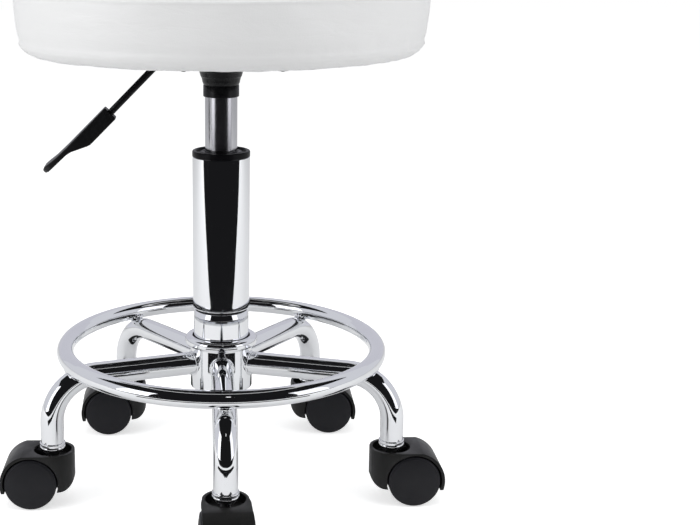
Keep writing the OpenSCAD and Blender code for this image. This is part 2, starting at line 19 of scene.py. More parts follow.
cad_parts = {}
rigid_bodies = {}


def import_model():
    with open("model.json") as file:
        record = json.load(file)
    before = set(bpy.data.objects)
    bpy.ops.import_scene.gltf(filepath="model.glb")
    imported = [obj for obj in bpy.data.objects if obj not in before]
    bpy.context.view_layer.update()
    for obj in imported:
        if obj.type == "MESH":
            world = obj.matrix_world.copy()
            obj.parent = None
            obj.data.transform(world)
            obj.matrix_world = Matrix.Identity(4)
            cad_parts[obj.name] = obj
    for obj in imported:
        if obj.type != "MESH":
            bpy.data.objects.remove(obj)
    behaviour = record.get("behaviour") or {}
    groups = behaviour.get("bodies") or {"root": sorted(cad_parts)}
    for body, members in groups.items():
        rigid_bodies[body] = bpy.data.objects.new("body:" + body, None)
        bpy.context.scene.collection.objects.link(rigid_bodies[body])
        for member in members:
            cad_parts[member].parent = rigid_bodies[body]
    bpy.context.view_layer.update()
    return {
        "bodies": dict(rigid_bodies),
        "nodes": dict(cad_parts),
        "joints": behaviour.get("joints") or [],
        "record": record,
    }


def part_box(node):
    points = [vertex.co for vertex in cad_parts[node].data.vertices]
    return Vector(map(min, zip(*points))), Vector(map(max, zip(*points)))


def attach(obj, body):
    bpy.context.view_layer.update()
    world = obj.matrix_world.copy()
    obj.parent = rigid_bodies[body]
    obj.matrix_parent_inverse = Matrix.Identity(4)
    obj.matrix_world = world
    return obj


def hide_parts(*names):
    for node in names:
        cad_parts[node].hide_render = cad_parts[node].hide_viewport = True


LOG = logging.getLogger("stool")
MM = 0.001
LEGS = 5
FLOOR_CARD_Z = 0.002
# Rays that pass through the studio's cards, which leaves only mirrors to see them.
PASSING_RAYS = ("camera", "diffuse", "shadow", "transmission")
# Each caster's trail, in degrees from +X, from the first leg round.
CASTER_TURN = (-88.0, 1.0, -1.0, 181.0, 179.0)

Point = tuple[float, float]
Colour = tuple[float, float, float]
Piece, Material = bpy.types.Object, bpy.types.Material
Tree, Node, Socket = bpy.types.NodeTree, bpy.types.Node, bpy.types.NodeSocket


class Side(Enum):
    """The two wheels of a caster, seen along its trail."""

    LEFT = 1
    RIGHT = -1


class Body(Enum):
    """Rigid bodies that pieces ride on."""

    BASE = "root"
    SEAT = "seat"
    LEVER = "lever"


# --- Bench: the modelling moves that every sub-assembly uses ---


class Bench:
    """Modelling moves on the active object."""

    @staticmethod
    def clear() -> None:
        """Leave edit mode and deselect everything."""
        if bpy.context.object and bpy.context.object.mode != "OBJECT":
            bpy.ops.object.mode_set(mode="OBJECT")
        bpy.ops.object.select_all(action="DESELECT")

    @staticmethod
    def pick(piece: Piece) -> Piece:
        """Make one object the only selected and active one.

        Args:
            piece: the object to pick.

        Returns:
            The same object.
        """
        Bench.clear()
        piece.select_set(True)
        bpy.context.view_layer.objects.active = piece
        return piece

    @staticmethod
    def named(name: str) -> Piece:
        """Name the active object and its mesh, and put its place into the mesh."""
        piece = bpy.context.object
        piece.name = name
        piece.data.name = name
        bpy.ops.object.transform_apply(location=True, rotation=True, scale=True)
        return piece

    @staticmethod
    def turned(name: str, outline: Sequence[Point], steps: int = 96, loop: bool = True) -> Piece:
        """Turn an outline about the Z axis, by drawing a ring out from point to point.

        Args:
            name: the new object's name.
            outline: radius and height of each point, in millimetres.
            steps: vertices in each ring.
            loop: whether the outline closes on its first point.

        Returns:
            The turned object, smooth but for its sharp edges.
        """
        Bench.clear()
        radius, height = outline[0]
        bpy.ops.mesh.primitive_circle_add(vertices=steps, radius=max(radius, 1e-3) * MM, fill_type="NOTHING",
                                          location=(0, 0, height * MM))
        piece = Bench.named(name)
        Bench.edit_all("EDGE")
        points = list(outline[1:]) + ([outline[0]] if loop else [])
        for next_radius, next_height in points:
            grow = max(next_radius, 1e-3) / max(radius, 1e-3)
            Bench.draw_out((0, 0, (next_height - height) * MM))
            bpy.ops.transform.resize(value=(grow, grow, 1), center_override=(0, 0, next_height * MM))
            radius, height = next_radius, next_height
        Bench.close_up()
        return Bench.smoothed(piece)

    @staticmethod
    def edit_all(kind: str = "FACE") -> None:
        """Enter edit mode with everything selected, as edges or faces."""
        bpy.ops.object.mode_set(mode="EDIT")
        bpy.ops.mesh.select_mode(type=kind)
        bpy.ops.mesh.select_all(action="SELECT")

    @staticmethod
    def draw_out(step: Sequence[float]) -> None:
        """Draw the selected edges or faces out by a step, in metres."""
        bpy.ops.mesh.extrude_region_move(TRANSFORM_OT_translate={"value": step})

    @staticmethod
    def close_up() -> None:
        """Merge doubles, point all faces outwards and leave edit mode."""
        bpy.ops.mesh.select_all(action="SELECT")
        bpy.ops.mesh.remove_doubles(threshold=2e-6)
        bpy.ops.mesh.normals_make_consistent(inside=False)
        bpy.ops.object.mode_set(mode="OBJECT")

    @staticmethod
    def smoothed(piece: Piece, angle: float = 38.0) -> Piece:
        """Shade a piece smooth, but for edges sharper than the angle in degrees."""
        Bench.pick(piece)
        bpy.ops.object.shade_smooth_by_angle(angle=math.radians(angle))
        return piece

    @staticmethod
    def modified(piece: Piece, kind: str, **values: object) -> Piece:
        """Add a modifier and apply it.

        Args:
            piece: the object to change.
            kind: the modifier's type.
            values: the modifier's settings.

        Returns:
            The changed object.
        """
        Bench.pick(piece)
        step = piece.modifiers.new(kind.title(), kind)
        for key, value in values.items():
            setattr(step, key, value)
        bpy.ops.object.modifier_apply(modifier=step.name)
        return piece

    @staticmethod
    def cut(piece: Piece, tool: Piece, how: str = "DIFFERENCE") -> Piece:
        """Cut, join or trim a piece with a tool shape, which is then thrown away."""
        Bench.modified(piece, "BOOLEAN", object=tool, operation=how, solver="EXACT")
        bpy.data.objects.remove(tool, do_unlink=True)
        return piece

    @staticmethod
    def bar(name: str, radius: float, start: Vector, end: Vector, steps: int = 64) -> Piece:
        """Add a round bar between two points, in metres, with its ends closed."""
        Bench.clear()
        along = end - start
        bpy.ops.mesh.primitive_cylinder_add(vertices=steps, radius=radius, depth=along.length,
                                            location=(start + end) / 2,
                                            rotation=along.to_track_quat("Z", "Y").to_euler())
        return Bench.named(name)

    @staticmethod
    def block(name: str, low: Sequence[float], high: Sequence[float]) -> Piece:
        """Add a box between two corners, in metres."""
        Bench.clear()
        middle = [(a + b) / 2 for a, b in zip(low, high)]
        bpy.ops.mesh.primitive_cube_add(size=1, location=middle, scale=[b - a for a, b in zip(low, high)])
        return Bench.named(name)

    @staticmethod
    def prism(name: str, outline: Sequence[Point], low: float, high: float) -> Piece:
        """Draw a flat outline out along Z.

        Args:
            name: the new object's name.
            outline: its corners in order, in millimetres.
            low: height of its underside, in millimetres.
            high: height of its top, in millimetres.

        Returns:
            The closed prism.
        """
        Bench.clear()
        bpy.ops.mesh.primitive_circle_add(vertices=len(outline), radius=1, fill_type="NGON")
        piece = Bench.named(name)
        for vertex, (x, y) in zip(piece.data.vertices, outline):
            vertex.co = Vector((x, y, low)) * MM
        Bench.edit_all()
        Bench.draw_out((0, 0, (high - low) * MM))
        Bench.close_up()
        return piece

    @staticmethod
    def joined(name: str, parts: Sequence[Piece]) -> Piece:
        """Join loose parts into one object that takes the name."""
        Bench.clear()
        for part in parts:
            part.select_set(True)
        bpy.context.view_layer.objects.active = parts[0]
        bpy.ops.object.join()
        parts[0].name = name
        parts[0].data.name = name
        return parts[0]

    @staticmethod
    def copied(piece: Piece, name: str, move: Matrix) -> Piece:
        """Copy a piece with its own mesh and put it in a new place.

        Args:
            piece: the object to copy.
            name: the copy's name.
            move: where the copy goes.

        Returns:
            The copy, with its place in its mesh.
        """
        twin = piece.copy()
        twin.data = piece.data.copy()
        twin.name = name
        twin.data.name = name
        bpy.context.scene.collection.objects.link(twin)
        twin.data.transform(move)
        return twin

    @staticmethod
    def repeated(piece: Piece, name: str, places: Iterable[Matrix]) -> list[Piece]:
        """Put a numbered copy of a piece at each place and throw the piece away.

        Args:
            piece: the object to copy.
            name: the copies' name, before their numbers.
            places: where each copy goes.

        Returns:
            The copies, numbered from 1.
        """
        copies = [Bench.copied(piece, f"{name}_{k}", place) for k, place in enumerate(places, 1)]
        bpy.data.objects.remove(piece, do_unlink=True)
        return copies

    @staticmethod
    def shaped(piece: Piece, move: Callable[[Vector], Vector]) -> Piece:
        """Move every vertex of a piece by a rule, as when sculpting.

        Args:
            piece: the object to change.
            move: gives a vertex's new place from its old one.

        Returns:
            The changed object.
        """
        for vertex in piece.data.vertices:
            vertex.co = move(vertex.co)
        piece.data.update()
        return piece


def arc(centre: Point, radii: Point, start: float, end: float, steps: int) -> list[Point]:
    """Points of an elliptic arc, both ends included, with angles in degrees."""
    turns = [math.radians(start + (end - start) * i / steps) for i in range(steps + 1)]
    return [(centre[0] + radii[0] * math.cos(t), centre[1] + radii[1] * math.sin(t)) for t in turns]


def top_gap(height: float, top: float) -> bool:
    """Whether a height lies in the narrow gap sunk below a top face."""
    return top - 1.9 < height < top - 0.3


def leg_turn(number: int) -> float:
    """Direction of a leg, in degrees from +X."""
    return -90.0 + 360.0 / LEGS * (number - 1)


def turned_by(degrees: float) -> Matrix:
    """A turn about the Z axis."""
    return Matrix.Rotation(math.radians(degrees), 4, "Z")


def round_legs() -> list[Matrix]:
    """Turns that bring a piece made on +X to each leg."""
    return [turned_by(leg_turn(k)) for k in range(1, LEGS + 1)]


def at_caster(number: int, stem_circle: float) -> Matrix:
    """Place of a caster, with its trail along the local +X."""
    place = turned_by(leg_turn(number)) @ Vector((stem_circle * MM, 0, 0))
    return Matrix.Translation(place) @ turned_by(CASTER_TURN[number - 1])


# --- Finishes ---


class Wires:
    """Adds nodes to one node tree and joins their sockets."""

    def __init__(self, tree: Tree) -> None:
        """Keep the tree that the nodes go in."""
        self.tree = tree
        self.column = 0

    def add(self, kind: str, links: dict[str | int, object] | None = None, **settings: object) -> Node:
        """Add a node, set its properties, and fill or link its inputs.

        Args:
            kind: the node's type.
            links: a value or an output socket for each input.
            settings: the node's properties.

        Returns:
            The new node.
        """
        node = self.tree.nodes.new(kind)
        self.column += 1
        node.location = (self.column * 190, -(self.column % 4) * 160)
        for key, value in settings.items():
            setattr(node, key, value)
        for key, value in (links or {}).items():
            if isinstance(value, Socket):
                self.tree.links.new(value, node.inputs[key])
            else:
                node.inputs[key].default_value = value
        return node


def bare_material(name: str) -> tuple[Material, Wires]:
    """A new material with no nodes, and the wires to fill it."""
    made = bpy.data.materials.new(name)
    made.use_nodes = True
    made.node_tree.nodes.clear()
    return made, Wires(made.node_tree)


class Effects:
    """Shader node groups that several finishes share, each built once."""

    _made: dict[str, Tree] = {}

    @classmethod
    def _group(cls, name: str, inputs: dict[str, str | float], outputs: dict[str, str],
               ) -> tuple[Tree, Wires, Node, Node]:
        """Make a group with nothing in it but its sockets.

        Args:
            name: the group's name.
            inputs: each input's kind, or the default of one that holds a number.
            outputs: each output's kind.

        Returns:
            The tree, its wires, and its input and output nodes.
        """
        tree = bpy.data.node_groups.new(name, "ShaderNodeTree")
        for label, kind in inputs.items():
            number = isinstance(kind, float)
            socket = tree.interface.new_socket(name=label, in_out="INPUT",
                                               socket_type="NodeSocket" + ("Float" if number else kind))
            if number:
                socket.default_value = kind
        for label, kind in outputs.items():
            tree.interface.new_socket(name=label, in_out="OUTPUT", socket_type="NodeSocket" + kind)
        wires = Wires(tree)
        return tree, wires, wires.add("NodeGroupInput"), wires.add("NodeGroupOutput")

    @classmethod
    def grain(cls) -> Tree:
        """Height of a fine moulded or leather grain."""
        if "grain" not in cls._made:
            tree, w, given, out = cls._group(
                "moulded grain", {"Place": "Vector", "Scale": 600.0, "Mix": 0.5}, {"Height": "Float"})
            cells = w.add("ShaderNodeTexVoronoi", {"Vector": given.outputs["Place"], "Scale": given.outputs["Scale"]},
                          feature="SMOOTH_F1")
            haze = w.add("ShaderNodeTexNoise", {"Vector": given.outputs["Place"], "Scale": given.outputs["Scale"],
                                                "Detail": 3.0})
            mixed = w.add("ShaderNodeMix", {0: given.outputs["Mix"], 2: cells.outputs["Distance"],
                                            3: haze.outputs["Fac"]})
            tree.links.new(mixed.outputs[0], out.inputs["Height"])
            cls._made["grain"] = tree
        return cls._made["grain"]

    @classmethod
    def handling(cls) -> Tree:
        """Roughness that drifts with handling and cleaning, between two values."""
        if "handling" not in cls._made:
            tree, w, given, out = cls._group(
                "handling marks", {"Place": "Vector", "Scale": 30.0, "Smooth": 0.2, "Dull": 0.3},
                {"Roughness": "Float", "Drift": "Float"})
            broad = w.add("ShaderNodeTexNoise", {"Vector": given.outputs["Place"], "Scale": given.outputs["Scale"],
                                                 "Detail": 4.0, "Roughness": 0.55})
            level = w.add("ShaderNodeMapRange", {"Value": broad.outputs["Fac"], "From Min": 0.3, "From Max": 0.7,
                                                 "To Min": given.outputs["Smooth"], "To Max": given.outputs["Dull"]})
            tree.links.new(level.outputs["Result"], out.inputs["Roughness"])
            tree.links.new(broad.outputs["Fac"], out.inputs["Drift"])
            cls._made["handling"] = tree
        return cls._made["handling"]

    @classmethod
    def dust(cls) -> Tree:
        """Thin dust on faces that look up, laid over a colour."""
        if "dust" not in cls._made:
            tree, w, given, out = cls._group(
                "settled dust", {"Place": "Vector", "Colour": "Color", "Amount": 0.1}, {"Colour": "Color"})
            facing = w.add("ShaderNodeNewGeometry")
            split = w.add("ShaderNodeSeparateXYZ", {0: facing.outputs["Normal"]})
            up = w.add("ShaderNodeMapRange", {"Value": split.outputs["Z"], "From Min": 0.3, "From Max": 1.0})
            specks = w.add("ShaderNodeTexNoise", {"Vector": given.outputs["Place"], "Scale": 420.0, "Detail": 5.0})
            patch = w.add("ShaderNodeMath", {0: up.outputs["Result"], 1: specks.outputs["Fac"]}, operation="MULTIPLY")
            amount = w.add("ShaderNodeMath", {0: patch.outputs[0], 1: given.outputs["Amount"]}, operation="MULTIPLY")
            laid = w.add("ShaderNodeMix", {0: amount.outputs[0], 6: given.outputs["Colour"],
                                           7: (0.42, 0.41, 0.39, 1)}, data_type="RGBA")
            tree.links.new(laid.outputs[2], out.inputs["Colour"])
            cls._made["dust"] = tree
        return cls._made["dust"]


@dataclass(frozen=True)
class Finish:
    """A surface finish: its colour, its gloss and the marks it carries.

    Attributes:
        name: the material's name.
        colour: base colour.
        metallic: 1 for bare or plated metal.
        smooth: roughness where the surface is cleanest.
        dull: roughness where it is most handled.
        mark_scale: how fine the handling marks are.
        grain_scale: how fine the grain is, or 0 for none.
        grain_mix: 0 for cells, 1 for haze.
        grain_height: depth of the grain, in metres.
        tint: how much lighter or darker the colour drifts.
        dust: how much dust lies on faces that look up.
        specular: specular level.
    """

    name: str
    colour: Colour
    metallic: float = 0.0
    smooth: float = 0.3
    dull: float = 0.4
    mark_scale: float = 30.0
    grain_scale: float = 0.0
    grain_mix: float = 0.5
    grain_height: float = 0.00002
    tint: float = 0.0
    dust: float = 0.0
    specular: float = 0.5

    def height(self, w: Wires, place: Socket) -> Socket | None:
        """Height of the finish's texture, or None for a bare one."""
        if not self.grain_scale:
            return None
        grain = w.add("ShaderNodeGroup", {"Place": place, "Scale": self.grain_scale, "Mix": self.grain_mix},
                      node_tree=Effects.grain())
        return grain.outputs["Height"]

    def material(self) -> Material:
        """The finish's material, made on first use.

        Returns:
            The material.
        """
        if self.name in bpy.data.materials:
            return bpy.data.materials[self.name]
        made, w = bare_material(self.name)
        place = w.add("ShaderNodeTexCoord").outputs["Object"]
        marks = w.add("ShaderNodeGroup", {"Place": place, "Scale": self.mark_scale, "Smooth": self.smooth,
                                          "Dull": self.dull}, node_tree=Effects.handling())
        darker = tuple(c * (1 - self.tint) for c in self.colour)
        tone = w.add("ShaderNodeMix", {0: marks.outputs["Drift"], 6: (*self.colour, 1), 7: (*darker, 1)},
                     data_type="RGBA")
        colour = tone.outputs[2]
        if self.dust:
            dust = w.add("ShaderNodeGroup", {"Place": place, "Colour": colour, "Amount": self.dust},
                         node_tree=Effects.dust())
            colour = dust.outputs["Colour"]
        shader = w.add("ShaderNodeBsdfPrincipled",
                       {"Base Color": colour, "Metallic": self.metallic, "Roughness": marks.outputs["Roughness"],
                        "Specular IOR Level": self.specular})
        w.add("ShaderNodeOutputMaterial", {0: shader.outputs[0]})
        height = self.height(w, place)
        if height is not None:
            bump = w.add("ShaderNodeBump", {"Height": height, "Distance": self.grain_height, "Strength": 1.0})
            w.tree.links.new(bump.outputs[0], shader.inputs["Normal"])
        self.extra(w, shader, place)
        return made

    def extra(self, w: Wires, shader: Node, place: Socket) -> None:
        """Further nodes of a particular finish."""


@dataclass(frozen=True)
class BrushedTube(Finish):
    """Ground steel with fine lines that run round or along the part."""

    stretch: tuple[float, float, float] = (2600.0, 2600.0, 40.0)

    def height(self, w: Wires, place: Socket) -> Socket:
        """Height of the grinding lines."""
        spread = w.add("ShaderNodeMapping", {"Vector": place, "Scale": self.stretch})
        lines = w.add("ShaderNodeTexNoise", {"Vector": spread.outputs[0], "Scale": 1.0, "Detail": 2.0})
        return lines.outputs["Fac"]


@dataclass(frozen=True)
class PlyFace(Finish):
    """Rotary-cut plywood face with long grain."""

    def height(self, w: Wires, place: Socket) -> Socket:
        """Height of the wood's grain."""
        spread = w.add("ShaderNodeMapping", {"Vector": place, "Scale": (14.0, 240.0, 240.0)})
        lines = w.add("ShaderNodeTexNoise", {"Vector": spread.outputs[0], "Scale": 1.0, "Detail": 5.0})
        return lines.outputs["Fac"]


@dataclass(frozen=True)
class CoatedCloth(Finish):
    """White coated upholstery: pebbled grain, faint sheen and soft creases."""

    sheen: float = 0.05

    def extra(self, w: Wires, shader: Node, place: Socket) -> None:
        """Creases in the coating, under the grain, and a light sheen."""
        shader.inputs["Sheen Weight"].default_value = self.sheen
        spread = w.add("ShaderNodeMapping", {"Vector": place, "Scale": (22.0, 22.0, 95.0)})
        folds = w.add("ShaderNodeTexNoise", {"Vector": spread.outputs[0], "Scale": 1.0, "Detail": 6.0,
                                             "Roughness": 0.6, "Distortion": 0.8})
        bump = shader.inputs["Normal"].links[0].from_node
        soft = w.add("ShaderNodeBump", {"Height": folds.outputs["Fac"], "Distance": 0.0011, "Strength": 0.5})
        w.tree.links.new(soft.outputs[0], bump.inputs["Normal"])


@dataclass(frozen=True)
class SpunCloth(Finish):
    """Black non-woven cloth with a dimpled bond pattern."""

    def height(self, w: Wires, place: Socket) -> Socket:
        """Height of the bond points."""
        dots = w.add("ShaderNodeTexVoronoi", {"Vector": place, "Scale": 900.0, "Randomness": 0.25})
        return dots.outputs["Distance"]


CHROME = Finish("chrome plate", (0.86, 0.87, 0.89), metallic=1.0, smooth=0.025, dull=0.05, mark_scale=55.0,
                grain_scale=24.0, grain_mix=1.0, grain_height=0.00003, tint=0.02)
WELD = Finish("plated weld", (0.82, 0.83, 0.85), metallic=1.0, smooth=0.05, dull=0.11, mark_scale=260.0,
              grain_scale=420.0, grain_mix=0.6, grain_height=0.00018, tint=0.05)
ZINC = Finish("zinc-plated steel", (0.62, 0.62, 0.63), metallic=1.0, smooth=0.24, dull=0.36, mark_scale=120.0,
              grain_scale=900.0, grain_height=0.00001, tint=0.12)
GROUND = BrushedTube("ground steel tube", (0.60, 0.60, 0.63), metallic=1.0, smooth=0.20, dull=0.225,
                     mark_scale=30.0, grain_scale=1.0, grain_height=0.0000025, tint=0.04)
MOULDED = Finish("satin black moulding", (0.008, 0.008, 0.009), smooth=0.30, dull=0.42, mark_scale=80.0,
                 grain_scale=1500.0, grain_height=0.00002, dust=0.01, specular=0.24)
COLLAR = Finish("close-grained black moulding", (0.004, 0.004, 0.005), smooth=0.26, dull=0.36, mark_scale=80.0,
                grain_scale=1500.0, grain_height=0.00001, dust=0.01, specular=0.11)
PAINTED = Finish("satin black paint", (0.006, 0.006, 0.007), smooth=0.22, dull=0.34, mark_scale=90.0,
                 grain_scale=700.0, grain_mix=1.0, grain_height=0.00002, dust=0.01, specular=0.22)
NYLON = Finish("satin black nylon", (0.008, 0.008, 0.008), smooth=0.34, dull=0.46, mark_scale=90.0,
               grain_scale=1300.0, grain_height=0.00003, dust=0.02, specular=0.3)
WHEEL = Finish("fine-grained black nylon", (0.010, 0.010, 0.013), smooth=0.44, dull=0.56, mark_scale=110.0,
               grain_scale=1800.0, grain_height=0.00003, dust=0.01, specular=0.3)
# Near-black painted shade for the hub's gaps under the column's lip and round the neck, where the chrome shows only
# shade.
GAP_SHADE = Finish("unplated steel", (0.010, 0.010, 0.012), smooth=0.5, dull=0.7, mark_scale=200.0, grain_scale=700.0,
              tint=0.3, specular=0.2)
RUBBER = Finish("black rubber", (0.02, 0.02, 0.02), smooth=0.6, dull=0.75, grain_scale=900.0, tint=0.15)
WHITE_COVER = CoatedCloth("white coated cloth", (0.80, 0.80, 0.80), smooth=0.42, dull=0.55, mark_scale=18.0,
                          grain_scale=1100.0, grain_mix=0.35, grain_height=0.00008, tint=0.03)
DUST_CLOTH = SpunCloth("black non-woven cloth", (0.014, 0.014, 0.015), smooth=0.8, dull=0.95, grain_scale=900.0,
                       grain_height=0.0001, tint=0.2)
PLYWOOD = PlyFace("raw plywood", (0.55, 0.38, 0.22), smooth=0.5, dull=0.7, mark_scale=14.0, grain_scale=1.0,
                  grain_height=0.0002, tint=0.3)


def dress(piece: Piece, finish: Finish) -> Piece:
    """Give a piece one finish all over."""
    piece.data.materials.clear()
    piece.data.materials.append(finish.material())
    return piece


def settle(piece: Piece, finish: Finish, body: str, stands_for: Iterable[str] = ()) -> Piece:
    """Dress a finished piece and hang it on its body.

    Args:
        piece: the finished object.
        finish: its surface.
        body: the rigid body it rides on.
        stands_for: the CAD nodes it replaces.

    Returns:
        The piece.
    """
    dress(piece, finish)
    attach(piece, body)
    if stands_for:
        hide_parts(*stands_for)
    LOG.info("%s: %d faces on %s", piece.name, len(piece.data.polygons), body)
    return piece


# --- Base: hub, legs, foot ring ---


@dataclass
class Hub:
    """Turned hub that carries the legs and plugs into the column.

    Attributes:
        floor_z: underside and top of the floor that takes the spring's rod.
        neck_loops: heights of two rings that keep the neck's shading straight.
    """

    body_r: float = 27.5
    bottom_z: float = 89.0
    shoulder_r: float = 32.0
    shoulder_z: float = 128.5
    shoulder_h: float = 8.0
    neck_r: float = 24.4
    boss_r: float = 20.5
    boss_z: float = 78.0
    column_z: float = 162.0
    spigot_r: float = 23.45
    bore_r: float = 15.2
    leg_r: float = 10.0
    leg_z: float = 112.0
    rod_hole_r: float = 5.5
    recess_r: float = 17.5
    floor_z: Point = (81.0, 84.0)
    neck_loops: Point = (141.0, 150.0)
    spigot_top: float = 182.0

    def outline(self) -> list[Point]:
        """The hub's turned outline, from its lower bore round to the spigot."""
        under, over = self.floor_z
        top = self.shoulder_z + self.shoulder_h
        chamfer = self.column_z - 4.5
        return ([(self.rod_hole_r, under), (self.recess_r - 0.5, under), (self.recess_r, under - 0.5),
                 (self.recess_r, self.boss_z + 0.5), (self.recess_r + 0.5, self.boss_z)]
                + arc((self.boss_r - 1.2, self.boss_z + 1.2), (1.2, 1.2), -90, 0, 4)
                + arc((self.boss_r + 1.6, self.bottom_z - 1.6), (1.6, 1.6), 180, 90, 4)
                + arc((self.body_r - 1.6, self.bottom_z + 1.6), (1.6, 1.6), -90, 0, 5)
                + [(self.body_r, self.bottom_z + 2.4), (self.body_r, self.shoulder_z - 2.4)]
                + arc((self.body_r + 1.0, self.shoulder_z - 1.0), (1.0, 1.0), 180, 90, 4)
                + arc((self.shoulder_r - 2.0, self.shoulder_z + 2.0), (2.0, 2.0), -90, 0, 6)
                + arc((self.shoulder_r - 3.8, top - 3.8), (3.8, 3.8), 0, 90, 8)
                + [(self.neck_r + 1.7, top), (self.neck_r + 1.2, top - 0.4), (self.neck_r + 1.1, top - 1.8),
                   (self.neck_r, top - 1.8), (self.neck_r, top - 0.5), *((self.neck_r, z) for z in self.neck_loops)]
                + arc((self.neck_r - 1.0, chamfer - 2.4), (1.0, 1.0), 0, 30, 3)
                + [(self.spigot_r + 0.2, self.column_z - 2.4), (self.spigot_r - 0.1, self.column_z - 2.1),
                   (self.spigot_r - 0.7, self.column_z - 2.0), (self.spigot_r - 0.7, self.column_z + 0.8),
                   (self.spigot_r - 0.1, self.column_z + 1.0),
                   (self.spigot_r - 0.1, self.spigot_top - 1.0), (self.spigot_r - 1.0, self.spigot_top),
                   (self.bore_r, self.spigot_top), (self.bore_r, over), (self.rod_hole_r, over)])

    def leg_weld(self) -> Piece:
        """Fillet weld where the first leg's straight part meets the hub, with the leg along +X."""
        Bench.clear()
        bpy.ops.mesh.primitive_torus_add(major_radius=(self.leg_r + 0.1) * MM, minor_radius=1.0 * MM,
                                         major_segments=72, minor_segments=14, location=(0, 0, 0),
                                         rotation=(0, math.pi / 2, 0))
        bead = Bench.named("hub_weld")

        def onto_hub(co: Vector) -> Vector:
            """Lay the ring on the hub's round side, with a slight ripple."""
            side = math.sqrt(max((self.body_r * MM) ** 2 - co.y ** 2, 0))
            turn = math.atan2(co.z, co.y)
            ripple = 1 + 0.006 * math.sin(turn * 23) + 0.03 * noise.noise(Vector((turn * 2, 1.7, 0)))
            return Vector((side + 0.2 * MM + co.x, co.y * ripple, co.z * ripple + self.leg_z * MM))

        return Bench.smoothed(Bench.shaped(bead, onto_hub), 80)

    def make(self) -> None:
        """Build the hub and its welds."""
        hub = Bench.turned("hub_turned", self.outline(), steps=144)
        settle(hub, CHROME, Body.BASE.value, ["hub"])
        # The second slot is the near-black painted shade, laid on the faces in the gap under the column's lip and in
        # the groove round the neck.
        hub.data.materials.append(GAP_SHADE.material())
        for face in hub.data.polygons:
            radius, height = math.hypot(face.center.x, face.center.y) / MM, face.center.z / MM
            under_column = self.column_z - 2.05 < height < self.column_z and radius < self.spigot_r
            round_neck = top_gap(height, self.shoulder_z + self.shoulder_h) and radius < self.neck_r + 1.3
            face.material_index = int(under_column or round_neck)
        beads = Bench.repeated(self.leg_weld(), "hub_weld", round_legs())
        settle(Bench.joined("hub_leg_welds", beads), CHROME, Body.BASE.value)


@dataclass
class LegSet:
    """Bent tube legs with their end sockets.

    Attributes:
        plug_r: inner and outer radius of the plug that holds a caster's stem.
    """

    stem_circle: float = 155.0
    radius: float = 10.0
    level: float = 112.0
    bend: float = 39.0
    start: float = 23.5
    end_z: float = 50.0
    socket_r: float = 10.95
    plug_r: Point = (5.5, 8.4)
    plug_top: float = 72.0
    steps: int = 64

    def tube(self) -> Piece:
        """One leg along +X: a ring of points drawn out, spun round the bend and drawn down."""
        Bench.clear()
        bpy.ops.mesh.primitive_circle_add(vertices=self.steps, radius=self.radius * MM, fill_type="NGON",
                                          location=(self.start * MM, 0, self.level * MM),
                                          rotation=(0, math.pi / 2, 0))
        leg = Bench.named("leg_tube")
        bend_x = self.stem_circle - self.bend
        centre_z = self.level - self.bend
        Bench.edit_all()
        for _ in range(3):
            Bench.draw_out(((bend_x - self.start) / 3 * MM, 0, 0))
        bpy.ops.mesh.spin(steps=28, angle=math.pi / 2, center=(bend_x * MM, 0, centre_z * MM), axis=(0, -1, 0))
        Bench.draw_out((0, 0, (self.end_z - centre_z) * MM))
        Bench.close_up()
        return Bench.smoothed(leg)

    def socket(self) -> Piece:
        """Pressed end socket with a rolled band and a groove."""
        r, low, high = self.socket_r, self.end_z - 1.6, self.end_z + 4.9
        tube, (bore, plug) = self.radius + 0.05, self.plug_r
        outline = ([(bore, low), (r - 1.9, low)] + arc((r - 1.4, low + 1.4), (1.4, 1.4), -90, 0, 5)
                   + [(r, high - 3.2), (r - 0.15, high - 3.0), (r - 0.7, high - 2.8), (r - 0.7, high - 2.0),
                      (r - 0.1, high - 1.8)]
                   + arc((r - 0.7, high - 0.7), (0.7, 0.7), 0, 90, 4)
                   + [(tube, high + 0.3), (tube, self.end_z - 0.05), (plug, self.end_z - 0.05),
                      (plug, self.plug_top), (bore, self.plug_top)])
        return Bench.turned("leg_socket", outline, steps=64)

    def make(self) -> None:
        """Build and place five legs and five sockets."""
        for k, leg in enumerate(Bench.repeated(self.tube(), "leg_tube", round_legs()), 1):
            settle(leg, CHROME, Body.BASE.value, [f"leg_{k}"])
        stem = Matrix.Translation((self.stem_circle * MM, 0, 0))
        sockets = Bench.repeated(self.socket(), "leg_socket", [turn @ stem for turn in round_legs()])
        settle(Bench.joined("leg_end_sockets", sockets), CHROME, Body.BASE.value, ["leg_sockets"])


